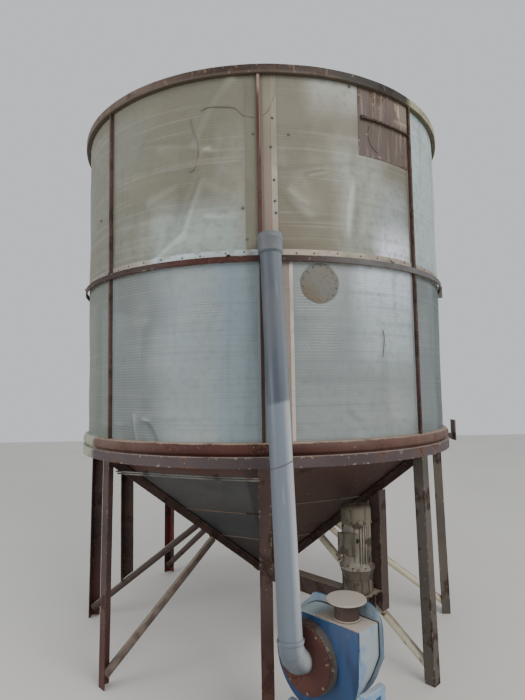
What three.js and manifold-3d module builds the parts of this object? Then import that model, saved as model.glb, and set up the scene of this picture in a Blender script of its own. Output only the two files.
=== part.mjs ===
// Homemade round grain dryer: a two-tier perforated bin on eight legs, with its hopper, air pipe, blower and gearmotor.
// Millimetres, +Z up, front facing -Y. The pieces are placed about the bin's own axis, on the ground,
// and the last lines move the whole so that its origin is on the ground under the middle of its outer box.

import * as THREE from "three";
import { mergeVertices } from "three/addons/utils/BufferGeometryUtils.js";
import Module from "manifold-3d";

const wasm = await Module();
wasm.setup();

// Driving dimensions
const GAP = 0.3;
const SIDES = 8;
const FACET_DEG = 5;
const WALL_R = 1270;
const SHEET_T = 3;
const WALL_BOTTOM_Z = 1380.3;
const MID_Z = 2333;
const WALL_TOP_Z = 3385;
const RIB_WIDTH = 16;
const RIB_DEPTH = 20;
const MID_RING_HEIGHT = 33;
const MID_RING_T = 10;
const RIM_HEIGHT = 48;
const RIM_OUTER_R = 1300;
const ANGLE_T = 6;

const BASE_RING_R = 1305;
const BASE_RING_BOTTOM_Z = 1256;
const BASE_RING_TOP_Z = 1308;
const SKIRT_T = 5.4;

const LEG_SIZE = 63;
const LEG_SPLAY = 22;
const BRACE_R = 24;
const BRACE_FOOT = { r: 1302, z: 62 };
const BRACE_TOP_R = 520;

const HOPPER_TOP_R = 1284;
const HOPPER_SLOPE = THREE.MathUtils.degToRad(37);
const HOPPER_PANEL_T = 5;
const OUTLET_R = 105;
const OUTLET_LENGTH = 62;
const RIB_FLANGE_HALF = 24;
const HOPPER_RIB_DROP = 7;
const HOPPER_RIB_DEPTH = 55;

const POST_SIZE = 75;
const FRONT_POST_R = 970;
const SIDE_POST_R = 1050;

const CORE_R = 925;
const CORE_BOTTOM_Z = 1290;
const CORE_TOP_Z = 2100;
const CONE_APEX_Z = 3070;
const CORE_FOOT_WIDTH = 60;

const PIPE_R = 55;
const PIPE_SOCKET_R = 64;
const PIPE_SOCKET_LENGTH = 95;
const PIPE_TOP = new THREE.Vector3(48, -1350.9, 2436);
const PIPE_BOTTOM = new THREE.Vector3(105.3, -1567.6, 538.6);
const ELBOW_R = 58;
const ELBOW_DROP = 64;
const ELBOW_REACH = 42;

const BLOWER_CENTRE = new THREE.Vector3(163.9, -1512.5, 437.8);
const BLOWER_TURN_DEG = -46.7;
const CASING_FRONT_Y = 42;
const CASING_DEPTH = 142;
const CASING_TOP = 187;
const CASING_SMALL_R = 187;
const CASING_LARGE_R = 281;
const CASING_FIRST_DEG = 95;
const CASING_TAPER = 55;
const TAPER_FROM_DEG = 220;
const TAPER_TO_DEG = 366;
const CASING_RIM = 20;
const RIM_CORNER_Z = 258;
const INLET_DISC_R = 153;
const STUB_X = 159;
const STUB_Y = 118;
const STUB_R = 55;
const STUB_FLANGE_R = 90;
const STUB_LENGTH = 80;
const STAND_BAR = 32;
const STAND_RAIL_Z = 370;
const STAND_LEFT = -150;
const STAND_RIGHT = 270;
const STAND_FRONT = 44;
const STAND_REAR = 190;
const STAND_LOW_RAIL = 60;

const MOTOR_ALONG = 912;
const MOTOR_ASIDE = -148;
const MOTOR_R = 90;
const MOTOR_TOP_Z = 952;
const FAN_COVER_Z = 845;
const MOTOR_FLANGE_Z = 582;
const GEARBOX_BOTTOM_Z = 440;
const BEAM_WIDTH = 80;
const BEAM_HEIGHT = 100;
const BEAM_START = 185;
const BEAM_END = 1010;

const COVER_R = 107;
const COVER_ANGLE_DEG = 14.2;
const COVER_Z = 2207;
const PATCH_FROM_DEG = 26;
const PATCH_TO_DEG = 44.5;
const PATCH_BOTTOM_Z = 2950;
const PATCH_BAR_Z = 3160;

const SECTOR_DEG = 360 / SIDES;
const RIM_BOTTOM_Z = WALL_TOP_Z + 8 - RIM_HEIGHT;
const RIB_OUTER_R = WALL_R + GAP + RIB_DEPTH;
const HOPPER_TOP_Z = BASE_RING_TOP_Z - ANGLE_T - 2 * GAP - SKIRT_T;
const HOPPER_FALL = Math.tan(HOPPER_SLOPE);
const HALF_SECTOR = THREE.MathUtils.degToRad(SECTOR_DEG / 2);
const PANEL_SLOPE = Math.atan(HOPPER_FALL / Math.cos(HALF_SECTOR));

const paint = {
  galvanised: { color: 0x9a9d98, roughness: 0.5, metalness: 0.7 },
  brown: { color: 0x4a332b, roughness: 0.75, metalness: 0.3 },
  primer: { color: 0x6b4034, roughness: 0.75, metalness: 0.2 },
  cream: { color: 0xb9b09a, roughness: 0.6, metalness: 0.1 },
  pipe: { color: 0x8b9399, roughness: 0.45, metalness: 0 },
  blue: { color: 0x3f6fa8, roughness: 0.5, metalness: 0.1 },
  rust: { color: 0x6a3a2a, roughness: 0.9, metalness: 0.2 },
  motor: { color: 0x6c6852, roughness: 0.8, metalness: 0.2 },
};

const dryer = new THREE.Group();
dryer.name = "grain_dryer";

function addPiece(name, geometry, finish, parent = dryer) {
  const mesh = new THREE.Mesh(geometry, new THREE.MeshStandardMaterial(paint[finish]));
  mesh.name = name;
  parent.add(mesh);
  return mesh;
}

// A group turned so that its -Y points outward at the given angle from the front.
function turned(angleDeg) {
  const group = new THREE.Group();
  group.rotation.z = THREE.MathUtils.degToRad(angleDeg);
  dryer.add(group);
  return group;
}

function toSolid(geometry) {
  const bare = geometry.clone();
  bare.deleteAttribute("normal");
  bare.deleteAttribute("uv");
  const merged = mergeVertices(bare, 1e-4);
  const triVerts = new Uint32Array(merged.index.array);
  const vertProperties = new Float32Array(merged.attributes.position.array);
  return new wasm.Manifold(new wasm.Mesh({ numProp: 3, vertProperties, triVerts }));
}

function toGeometry(solid) {
  const mesh = solid.getMesh();
  const geometry = new THREE.BufferGeometry();
  geometry.setAttribute("position", new THREE.BufferAttribute(new Float32Array(mesh.vertProperties), 3));
  geometry.setIndex(new THREE.BufferAttribute(new Uint32Array(mesh.triVerts), 1));
  geometry.computeVertexNormals();
  return geometry;
}

function join(geometries) {
  const whole = geometries.map(toSolid).reduce((sum, next) => sum.add(next));
  return toGeometry(whole);
}

function box(x0, x1, y0, y1, z0, z1) {
  const geometry = new THREE.BoxGeometry(x1 - x0, y1 - y0, z1 - z0);
  return geometry.translate((x0 + x1) / 2, (y0 + y1) / 2, (z0 + z1) / 2);
}

function prism(points, height) {
  const shape = new THREE.Shape(points.map(([x, y]) => new THREE.Vector2(x, y)));
  return new THREE.ExtrudeGeometry(shape, { depth: height, bevelEnabled: false });
}

// A flat plate standing in a radial plane: outline points are [radius, height], and x0 to x1 is across the plane.
function radialPlate(points, x0, x1) {
  const basis = new THREE.Matrix4().makeBasis(
    new THREE.Vector3(0, -1, 0),
    new THREE.Vector3(0, 0, 1),
    new THREE.Vector3(-1, 0, 0),
  );
  return prism(points, x1 - x0).applyMatrix4(basis).translate(x1, 0, 0);
}

// A closed [radius, height] profile turned about +Z. Its facet corners stand at whole steps from the front.
function turnedRing(profile, steps = 360 / FACET_DEG) {
  const points = [...profile, profile[0]].map(([r, z]) => new THREE.Vector2(r, z));
  return new THREE.LatheGeometry(points, steps).rotateX(Math.PI / 2);
}

// A profile that starts and ends on the axis, listed from the bottom up.
function turnedSolid(profile, steps) {
  const points = profile.map(([r, z]) => new THREE.Vector2(r, z));
  return new THREE.LatheGeometry(points, steps).rotateX(Math.PI / 2);
}

// The radius of the faceted wall at an angle, where its corners have the given radius.
function facetRadius(radius, angleDeg) {
  const half = THREE.MathUtils.degToRad(FACET_DEG / 2);
  const within = THREE.MathUtils.degToRad(THREE.MathUtils.euclideanModulo(angleDeg, FACET_DEG));
  return (radius * Math.cos(half)) / Math.cos(within - half);
}

function wallPoint(radius, angleDeg) {
  const angle = THREE.MathUtils.degToRad(angleDeg);
  const r = facetRadius(radius, angleDeg);
  return [r * Math.sin(angle), -r * Math.cos(angle)];
}

// An upright curved slab that follows the facets of the round wall.
function wallSlab(innerR, outerR, fromDeg, toDeg, z0, z1) {
  const angles = [fromDeg];
  for (let a = Math.floor(fromDeg / FACET_DEG + 1) * FACET_DEG; a < toDeg - 0.01; a += FACET_DEG) angles.push(a);
  angles.push(toDeg);
  const outer = angles.map((a) => wallPoint(outerR, a));
  const inner = angles.map((a) => wallPoint(innerR, a)).reverse();
  return prism([...outer, ...inner], z1 - z0).translate(0, 0, z0);
}

function rod(from, to, radius, sides) {
  const along = new THREE.Vector3().subVectors(to, from);
  const geometry = new THREE.CylinderGeometry(radius, radius, along.length(), sides);
  const turn = new THREE.Quaternion().setFromUnitVectors(new THREE.Vector3(0, 1, 0), along.clone().normalize());
  const middle = new THREE.Vector3().addVectors(from, to).multiplyScalar(0.5);
  return geometry.applyQuaternion(turn).translate(middle.x, middle.y, middle.z);
}

// Heights on the hopper at a rib: the ridge between two panels, and the underside of the rib.
const ridgeZ = (r) => HOPPER_TOP_Z - (HOPPER_TOP_R - r) * HOPPER_FALL;
const ribBottomZ = (r) => ridgeZ(r) - HOPPER_RIB_DROP - HOPPER_RIB_DEPTH;

// Height of the hopper's inner face on the middle line of a panel.
const PANEL_TOP_APOTHEM = HOPPER_TOP_R * Math.cos(HALF_SECTOR);
const panelZ = (apothem) => HOPPER_TOP_Z - (PANEL_TOP_APOTHEM - apothem) * Math.tan(PANEL_SLOPE);

// Brace line in a leg's plane, from the foot up and in to the rib.
const braceRise = Math.atan2(ribBottomZ(BRACE_TOP_R) - BRACE_FOOT.z, BRACE_FOOT.r - BRACE_TOP_R);
const braceTopZ =
  ribBottomZ(BRACE_TOP_R) - BRACE_R * (Math.cos(braceRise) - Math.sin(braceRise) * HOPPER_FALL) - 2 * GAP;
const braceSlope = (braceTopZ - BRACE_FOOT.z) / (BRACE_FOOT.r - BRACE_TOP_R);
const braceUpperZ = (r) =>
  BRACE_FOOT.z + (BRACE_FOOT.r - r) * braceSlope + BRACE_R / Math.cos(Math.atan(braceSlope));

// Legs: angle iron with one flange facing out, splayed at the foot, under the base ring.
function legGeometry() {
  const outer = -(BASE_RING_R - 2);
  const half = LEG_SIZE / 2;
  const outline = [
    [-half, outer],
    [half, outer],
    [half, outer + ANGLE_T],
    [-half + ANGLE_T, outer + ANGLE_T],
    [-half + ANGLE_T, outer + LEG_SIZE],
    [-half, outer + LEG_SIZE],
  ];
  const height = BASE_RING_BOTTOM_Z - GAP;
  const lean = new THREE.Matrix4().makeShear(0, 0, 0, 0, 0, LEG_SPLAY / height);
  return prism(outline, height).applyMatrix4(lean).translate(0, -LEG_SPLAY, 0);
}

function braceGeometry() {
  const foot = new THREE.Vector3(0, -BRACE_FOOT.r, BRACE_FOOT.z);
  const top = new THREE.Vector3(0, -BRACE_TOP_R, braceTopZ);
  return rod(foot, top, BRACE_R, 12);
}

for (let i = 0; i < SIDES; i += 1) {
  const plane = turned(i * SECTOR_DEG);
  addPiece(`leg_${i + 1}`, legGeometry(), "primer", plane);
  const creamTube = i >= 1 && i <= 3;
  addPiece(`brace_${i + 1}`, braceGeometry(), creamTube ? "cream" : "brown", plane);
}

// Inner posts: angle iron between a brace and the hopper rib above it.
function innerPostGeometry(radius) {
  const inner = radius - POST_SIZE / 2;
  const outer = radius + POST_SIZE / 2;
  const side = (r0, r1) => [
    [r0, braceUpperZ(r0) + GAP],
    [r1, braceUpperZ(r1) + GAP],
    [r1, ribBottomZ(r1) - GAP],
    [r0, ribBottomZ(r0) - GAP],
  ];
  const half = POST_SIZE / 2;
  return join([
    radialPlate(side(outer - ANGLE_T, outer), -half, half),
    radialPlate(side(inner, outer), -half, -half + ANGLE_T),
  ]);
}

addPiece("inner_post_front_right", innerPostGeometry(FRONT_POST_R), "primer", turned(SECTOR_DEG));
addPiece("inner_post_left", innerPostGeometry(SIDE_POST_R), "brown", turned(-2 * SECTOR_DEG));

// Base ring: rolled angle iron, with the arm and plate on its right that held a neighbour.
function baseRingGeometry() {
  const ring = turnedRing([
    [BASE_RING_R - 60, BASE_RING_TOP_Z - ANGLE_T],
    [BASE_RING_R - ANGLE_T, BASE_RING_TOP_Z - ANGLE_T],
    [BASE_RING_R - ANGLE_T, BASE_RING_BOTTOM_Z],
    [BASE_RING_R, BASE_RING_BOTTOM_Z],
    [BASE_RING_R, BASE_RING_TOP_Z],
    [BASE_RING_R - 60, BASE_RING_TOP_Z],
  ]);
  const arm = box(BASE_RING_R - 4, BASE_RING_R + 112, -20, 20, 1262, 1302);
  const plate = box(BASE_RING_R + 105, BASE_RING_R + 113, -45, 45, 1250, 1400);
  return join([ring, arm, plate]);
}

addPiece("base_ring", baseRingGeometry(), "brown");

// Skirt plate: closes the step between the round ring and the eight-sided hopper.
function skirtPlateGeometry() {
  const z0 = HOPPER_TOP_Z + GAP;
  const outline = new THREE.Shape();
  for (let a = 0; a < 360; a += FACET_DEG) {
    const [x, y] = wallPoint(BASE_RING_R - ANGLE_T - 2 * GAP, a);
    if (a === 0) outline.moveTo(x, y);
    else outline.lineTo(x, y);
  }
  const hole = new THREE.Path();
  for (let i = 0; i < SIDES; i += 1) {
    const angle = THREE.MathUtils.degToRad(i * SECTOR_DEG);
    const r = HOPPER_TOP_R - 4;
    if (i === 0) hole.moveTo(r * Math.sin(angle), -r * Math.cos(angle));
    else hole.lineTo(r * Math.sin(angle), -r * Math.cos(angle));
  }
  outline.holes.push(hole);
  return new THREE.ExtrudeGeometry(outline, { depth: SKIRT_T, bevelEnabled: false }).translate(0, 0, z0);
}

addPiece("skirt_plate", skirtPlateGeometry(), "brown");

// Lip ring: rolled bulging ring that the wall stands on.
function lipRingGeometry() {
  const z0 = BASE_RING_TOP_Z + GAP;
  return turnedRing([
    [1256, z0],
    [1282, z0],
    [1284, 1318],
    [1296, 1322],
    [1303, 1334],
    [1304, 1350],
    [1300, 1366],
    [1289, 1377],
    [1280, WALL_BOTTOM_Z - GAP],
    [1256, WALL_BOTTOM_Z - GAP],
  ]);
}

addPiece("lip_ring", lipRingGeometry(), "rust");

// Wall frame: eight ribs outside the sheets, the middle ring round them, and a lug on its right.
function wallFrameGeometry() {
  const ringInner = RIB_OUTER_R - 2.5;
  const ringOuter = ringInner + MID_RING_T;
  const parts = [
    turnedRing([
      [ringInner, MID_Z - MID_RING_HEIGHT / 2],
      [ringOuter, MID_Z - MID_RING_HEIGHT / 2],
      [ringOuter, MID_Z + MID_RING_HEIGHT / 2],
      [ringInner, MID_Z + MID_RING_HEIGHT / 2],
    ]),
    box(ringInner + 3, ringOuter + 85, -5, 5, MID_Z - 4, MID_Z + 86),
  ];
  for (let i = 0; i < SIDES; i += 1) {
    const rib = box(
      -RIB_WIDTH / 2,
      RIB_WIDTH / 2,
      -RIB_OUTER_R,
      -RIB_OUTER_R + RIB_DEPTH,
      WALL_BOTTOM_Z,
      RIM_BOTTOM_Z - GAP,
    );
    parts.push(rib.rotateZ(THREE.MathUtils.degToRad(i * SECTOR_DEG)));
  }
  return join(parts);
}

addPiece("wall_frame", wallFrameGeometry(), "brown");

// Top rim: rolled angle iron round the open mouth.
function topRimGeometry() {
  const rimTop = RIM_BOTTOM_Z + RIM_HEIGHT;
  const inner = WALL_R + GAP + 0.1;
  return turnedRing([
    [inner, RIM_BOTTOM_Z],
    [RIM_OUTER_R, RIM_BOTTOM_Z],
    [RIM_OUTER_R, rimTop],
    [RIM_OUTER_R - ANGLE_T, rimTop],
    [RIM_OUTER_R - ANGLE_T, RIM_BOTTOM_Z + ANGLE_T],
    [inner, RIM_BOTTOM_Z + ANGLE_T],
  ]);
}

addPiece("top_rim", topRimGeometry(), "rust");

// Wall sheets: four perforated sheets to a tier, two tiers.
const sheetNames = ["front_right", "back_right", "back_left", "front_left"];
sheetNames.forEach((side, i) => {
  const from = i * 90 + 0.01;
  const to = (i + 1) * 90 - 0.01;
  const inner = WALL_R - SHEET_T;
  const lower = wallSlab(inner, WALL_R, from, to, WALL_BOTTOM_Z, MID_Z - GAP / 2);
  const upper = wallSlab(inner, WALL_R, from, to, MID_Z + GAP / 2, WALL_TOP_Z);
  addPiece(`lower_sheet_${side}`, lower, "galvanised");
  addPiece(`upper_sheet_${side}`, upper, "galvanised");
});

// Patch panel with its angle bar, on the upper front right of the wall.
function patchPanelGeometry() {
  const inner = WALL_R + GAP + 0.1;
  const sheet = wallSlab(inner, inner + SHEET_T, PATCH_FROM_DEG, PATCH_TO_DEG, PATCH_BOTTOM_Z, RIM_BOTTOM_Z - GAP);
  const bar = wallSlab(inner + 1, inner + 22, PATCH_FROM_DEG, PATCH_TO_DEG, PATCH_BAR_Z, PATCH_BAR_Z + 22);
  return join([sheet, bar]);
}

addPiece("patch_panel", patchPanelGeometry(), "primer");

// Round cover plate on the lower front right sheet.
const coverPlate = new THREE.CylinderGeometry(COVER_R, COVER_R, SHEET_T, 32);
coverPlate.translate(0, -(WALL_R + GAP + SHEET_T / 2), COVER_Z);
addPiece("round_cover", coverPlate, "galvanised", turned(COVER_ANGLE_DEG));

// Hopper panels: eight flat plates between the ribs, inner faces on one pyramid.
function hopperPanelGeometry() {
  const topHalf = HOPPER_TOP_R * Math.sin(HALF_SECTOR) - GAP;
  const bottomHalf = OUTLET_R * Math.sin(HALF_SECTOR) - GAP;
  const bottomApothem = OUTLET_R * Math.cos(HALF_SECTOR);
  const slopeLength = (PANEL_TOP_APOTHEM - bottomApothem) / Math.cos(PANEL_SLOPE);
  const outline = [
    [-bottomHalf, 0],
    [bottomHalf, 0],
    [topHalf, slopeLength],
    [-topHalf, slopeLength],
  ];
  const basis = new THREE.Matrix4().makeBasis(
    new THREE.Vector3(1, 0, 0),
    new THREE.Vector3(0, -Math.cos(PANEL_SLOPE), Math.sin(PANEL_SLOPE)),
    new THREE.Vector3(0, -Math.sin(PANEL_SLOPE), -Math.cos(PANEL_SLOPE)),
  );
  return prism(outline, HOPPER_PANEL_T).applyMatrix4(basis).translate(0, -bottomApothem, panelZ(bottomApothem));
}

for (let i = 0; i < SIDES; i += 1) {
  const sheetMetal = i === SIDES - 1;
  const parent = turned((i + 0.5) * SECTOR_DEG);
  addPiece(`hopper_panel_${i + 1}`, hopperPanelGeometry(), sheetMetal ? "galvanised" : "brown", parent);
}

// Hopper frame: eight T-shaped ribs under the ridges, welded to the outlet collar.
function hopperRibGeometry() {
  const inner = OUTLET_R + 3;
  const outer = HOPPER_TOP_R + 8;
  const strip = (top, bottom) => [
    [inner, ridgeZ(inner) - bottom],
    [outer, ridgeZ(outer) - bottom],
    [outer, ridgeZ(outer) - top],
    [inner, ridgeZ(inner) - top],
  ];
  const flange = radialPlate(strip(HOPPER_RIB_DROP, HOPPER_RIB_DROP + ANGLE_T), -RIB_FLANGE_HALF - 1.2, RIB_FLANGE_HALF);
  const web = radialPlate(strip(HOPPER_RIB_DROP + 1, HOPPER_RIB_DROP + HOPPER_RIB_DEPTH), -ANGLE_T / 2, ANGLE_T / 2);
  return join([flange, web]);
}

function hopperFrameGeometry() {
  const collarTop = ridgeZ(OUTLET_R) - HOPPER_PANEL_T;
  const collar = turnedRing(
    [
      [OUTLET_R - 1, collarTop - OUTLET_LENGTH],
      [OUTLET_R + 7, collarTop - OUTLET_LENGTH],
      [OUTLET_R + 7, collarTop],
      [OUTLET_R - 1, collarTop],
    ],
    SIDES,
  );
  const parts = [collar];
  for (let i = 0; i < SIDES; i += 1) {
    parts.push(hopperRibGeometry().rotateZ(THREE.MathUtils.degToRad(i * SECTOR_DEG)));
  }
  return join(parts);
}

addPiece("hopper_frame", hopperFrameGeometry(), "brown");

// Inner core: perforated air cylinder standing on four feet on the hopper, and its cone cap.
function coreCylinderGeometry() {
  const shell = turnedRing([
    [CORE_R - SHEET_T, CORE_BOTTOM_Z],
    [CORE_R, CORE_BOTTOM_Z],
    [CORE_R, CORE_TOP_Z],
    [CORE_R - SHEET_T, CORE_TOP_Z],
  ]);
  const parts = [shell];
  for (let i = 0; i < 4; i += 1) {
    const half = CORE_FOOT_WIDTH / 2;
    const outer = CORE_R - SHEET_T - 1;
    const foot = box(-half, half, -outer, -outer + 8, panelZ(outer) + GAP, CORE_BOTTOM_Z + 100);
    const tie = box(-half, half, -outer - 2, -outer + 4, CORE_BOTTOM_Z + 40, CORE_BOTTOM_Z + 90);
    const angle = THREE.MathUtils.degToRad((2 * i + 0.5) * SECTOR_DEG);
    parts.push(foot.rotateZ(angle), tie.rotateZ(angle));
  }
  return join(parts);
}

function coreConeGeometry() {
  const eaveZ = CORE_TOP_Z + GAP;
  const slope = (CONE_APEX_Z - eaveZ) / CORE_R;
  const drop = SHEET_T * Math.hypot(1, slope);
  return turnedSolid(
    [
      [0, CONE_APEX_Z - drop],
      [CORE_R - drop / slope, eaveZ],
      [CORE_R, eaveZ],
      [0, CONE_APEX_Z],
    ],
    360 / FACET_DEG,
  );
}

addPiece("inner_cylinder", coreCylinderGeometry(), "galvanised");
addPiece("inner_cone", coreConeGeometry(), "galvanised");

// Air pipe: plastic drain pipe with an open socket at its top, leaning in against the middle ring.
function airPipeGeometry() {
  const length = PIPE_TOP.distanceTo(PIPE_BOTTOM);
  const shoulder = length - PIPE_SOCKET_LENGTH;
  const pipe = turnedSolid(
    [
      [0, 0],
      [PIPE_R, 0],
      [PIPE_R, shoulder - 12],
      [PIPE_SOCKET_R, shoulder],
      [PIPE_SOCKET_R, length],
      [PIPE_R, length],
      [PIPE_R, shoulder + 10],
      [0, shoulder + 10],
    ],
    20,
  );
  const along = new THREE.Vector3().subVectors(PIPE_TOP, PIPE_BOTTOM).normalize();
  const turn = new THREE.Quaternion().setFromUnitVectors(new THREE.Vector3(0, 0, 1), along);
  return pipe.applyQuaternion(turn).translate(PIPE_BOTTOM.x, PIPE_BOTTOM.y, PIPE_BOTTOM.z);
}

addPiece("air_pipe", airPipeGeometry(), "pipe");

const blowerAxis = new THREE.Vector3(0, 1, 0).applyAxisAngle(
  new THREE.Vector3(0, 0, 1),
  THREE.MathUtils.degToRad(BLOWER_TURN_DEG),
);

function elbowGeometry() {
  const down = new THREE.Vector3().subVectors(PIPE_BOTTOM, PIPE_TOP).normalize();
  const start = PIPE_BOTTOM.clone().addScaledVector(down, GAP);
  const end = BLOWER_CENTRE.clone().addScaledVector(blowerAxis, -6 - GAP);
  const path = new THREE.CubicBezierCurve3(
    start,
    start.clone().addScaledVector(down, ELBOW_DROP),
    end.clone().addScaledVector(blowerAxis, -ELBOW_REACH),
    end,
  );
  const section = new THREE.Shape();
  section.absarc(0, 0, ELBOW_R, 0, 2 * Math.PI);
  return new THREE.ExtrudeGeometry(section, { steps: 12, curveSegments: 10, extrudePath: path });
}

addPiece("pipe_elbow", elbowGeometry(), "pipe");

// Blower, in a frame of its own: +Y runs from the inlet into the casing, and the shaft is at height zero.
const blower = new THREE.Group();
blower.position.copy(BLOWER_CENTRE);
blower.rotation.z = THREE.MathUtils.degToRad(BLOWER_TURN_DEG);
dryer.add(blower);

// Turns a solid of revolution from +Z to the blower's +Y.
const alongShaft = (profile, steps) => turnedSolid(profile, steps).rotateX(-Math.PI / 2);

function casingRadius(angleDeg) {
  const share = (angleDeg - CASING_FIRST_DEG) / (360 - CASING_FIRST_DEG);
  return CASING_SMALL_R + (CASING_LARGE_R - CASING_SMALL_R) * share;
}

// How far the casing narrows towards its back, which it does under the outlet side.
function casingTaper(angleDeg) {
  const share = (angleDeg - TAPER_FROM_DEG) / (TAPER_TO_DEG - TAPER_FROM_DEG);
  return share <= 0 ? 0 : CASING_TAPER * Math.sqrt(Math.sin(Math.PI * share));
}

// The scroll from its first point round to the outlet side, as [x, z].
function scrollPoints(radiusAt) {
  const points = [];
  for (let a = CASING_FIRST_DEG; a < 360; a += 10) {
    const angle = THREE.MathUtils.degToRad(a);
    points.push([radiusAt(a) * Math.cos(angle), radiusAt(a) * Math.sin(angle)]);
  }
  return points;
}

const outletSide = [
  [CASING_LARGE_R, 45],
  [CASING_LARGE_R, CASING_TOP],
];
const casingFront = [...scrollPoints(casingRadius), ...outletSide];
const casingBack = [...scrollPoints((a) => casingRadius(a) - casingTaper(a)), ...outletSide];
const casingRim = [
  ...scrollPoints((a) => casingRadius(a) - casingTaper(a) + CASING_RIM),
  [CASING_LARGE_R + CASING_RIM, 45],
  [CASING_LARGE_R + CASING_RIM, RIM_CORNER_Z - 95],
  [CASING_LARGE_R + 6, RIM_CORNER_Z - 45],
  [CASING_LARGE_R - 25, RIM_CORNER_Z - 12],
  [CASING_LARGE_R - 60, RIM_CORNER_Z],
];

// A closed solid between two outlines in x and z that have the same number of points.
function loft(front, back, y0, y1) {
  const count = front.length;
  const positions = [];
  for (const [x, z] of front) positions.push(x, y0, z);
  for (const [x, z] of back) positions.push(x, y1, z);
  const index = [];
  for (let i = 0; i < count; i++) {
    const next = (i + 1) % count;
    index.push(i, count + next, next, i, count + i, count + next);
  }
  const asPoints = (outline) => outline.map(([x, z]) => new THREE.Vector2(x, z));
  for (const [a, b, c] of THREE.ShapeUtils.triangulateShape(asPoints(front), [])) index.push(a, b, c);
  for (const [a, b, c] of THREE.ShapeUtils.triangulateShape(asPoints(back), [])) {
    index.push(count + a, count + c, count + b);
  }
  const geometry = new THREE.BufferGeometry();
  geometry.setAttribute("position", new THREE.BufferAttribute(new Float32Array(positions), 3));
  geometry.setIndex(index);
  return geometry;
}

function casingGeometry() {
  const back = CASING_FRONT_Y + CASING_DEPTH;
  const body = loft(casingFront, casingBack, CASING_FRONT_Y, back);
  const backRim = loft(casingRim, casingRim, back - 2, back + 8);
  const hub = alongShaft(
    [
      [0, back],
      [60, back],
      [60, back + 40],
      [0, back + 40],
    ],
    16,
  );
  return join([body, backRim, hub]);
}

addPiece("blower_casing", casingGeometry(), "blue", blower);

addPiece(
  "blower_inlet_cover",
  alongShaft(
    [
      [0, -6],
      [INLET_DISC_R, -6],
      [INLET_DISC_R, 6],
      [INLET_DISC_R + 2, 8],
      [INLET_DISC_R + 8, CASING_FRONT_Y - GAP],
      [0, CASING_FRONT_Y - GAP],
    ],
    32,
  ),
  "rust",
  blower,
);

const outletStub = turnedSolid(
  [
    [0, 0],
    [STUB_R + 8, 0],
    [STUB_R + 8, 5],
    [STUB_R, 8],
    [STUB_R, STUB_LENGTH],
    [STUB_FLANGE_R, STUB_LENGTH],
    [STUB_FLANGE_R, STUB_LENGTH + 8],
    [0, STUB_LENGTH + 8],
  ],
  24,
).translate(STUB_X, STUB_Y, CASING_TOP + GAP);
addPiece("blower_outlet_stub", outletStub, "rust", blower);

// Blower stand: short posts on the left, taller ones with a rail on the right, and two cross bars under the casing.
function blowerStandGeometry() {
  const floor = -BLOWER_CENTRE.z;
  const railTop = STAND_RAIL_Z - BLOWER_CENTRE.z;
  const lowest = (outline) => Math.min(...outline.map(([, z]) => z)) - GAP;
  const right = STAND_RIGHT;
  const left = STAND_LEFT;
  const bar = STAND_BAR;
  const parts = [
    box(right, right + bar, STAND_FRONT, STAND_REAR, railTop - bar, railTop),
  ];
  for (const x of [left, right]) {
    const low = floor + STAND_LOW_RAIL;
    parts.push(box(x, x + bar, STAND_FRONT, STAND_REAR, low, low + bar));
  }
  for (const [y, under] of [
    [STAND_FRONT, lowest(casingFront)],
    [STAND_REAR - bar + 3, lowest(casingRim)],
  ]) {
    parts.push(box(left, right + bar, y + 1, y + bar - 1, under - bar, under));
    parts.push(box(left, left + bar, y, y + bar, floor, under - 1));
    parts.push(box(right, right + bar, y, y + bar, floor, railTop));
  }
  return join(parts);
}

addPiece("blower_stand", blowerStandGeometry(), "blue", blower);

// Drive beam: channel from near the outlet out past the front right inner post, with a lug to the post.
const frontRight = turned(SECTOR_DEG);

function driveBeamGeometry() {
  const top = GEARBOX_BOTTOM_Z - GAP;
  const x0 = MOTOR_ASIDE - BEAM_WIDTH / 2;
  const x1 = MOTOR_ASIDE + BEAM_WIDTH / 2;
  const web = box(x0, x1, -BEAM_END, -BEAM_START, top - ANGLE_T, top);
  const nearFlange = box(x0, x0 + ANGLE_T, -BEAM_END, -BEAM_START, top - BEAM_HEIGHT, top);
  const farFlange = box(x1 - ANGLE_T, x1, -BEAM_END, -BEAM_START, top - BEAM_HEIGHT, top);
  const postFace = -POST_SIZE / 2 - GAP;
  const lug = box(x1 - 3, postFace, -FRONT_POST_R - 35, -FRONT_POST_R + 35, top - 10, top - 2);
  return join([web, nearFlange, farFlange, lug]);
}

addPiece("drive_beam", driveBeamGeometry(), "brown", frontRight);

// Gearmotor, upright on the beam.
const motor = new THREE.Group();
motor.position.set(MOTOR_ASIDE, -MOTOR_ALONG, 0);
frontRight.add(motor);

addPiece(
  "gearbox",
  turnedSolid(
    [
      [0, GEARBOX_BOTTOM_Z],
      [78, GEARBOX_BOTTOM_Z],
      [88, GEARBOX_BOTTOM_Z + 12],
      [92, MOTOR_FLANGE_Z - 30],
      [98, MOTOR_FLANGE_Z - 18],
      [98, MOTOR_FLANGE_Z],
      [0, MOTOR_FLANGE_Z],
    ],
    24,
  ),
  "motor",
  motor,
);

addPiece(
  "motor_body",
  turnedSolid(
    [
      [0, MOTOR_FLANGE_Z + GAP],
      [104, MOTOR_FLANGE_Z + GAP],
      [104, MOTOR_FLANGE_Z + 16],
      [86, MOTOR_FLANGE_Z + 36],
      [86, FAN_COVER_Z - GAP],
      [0, FAN_COVER_Z - GAP],
    ],
    24,
  ),
  "motor",
  motor,
);

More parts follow.
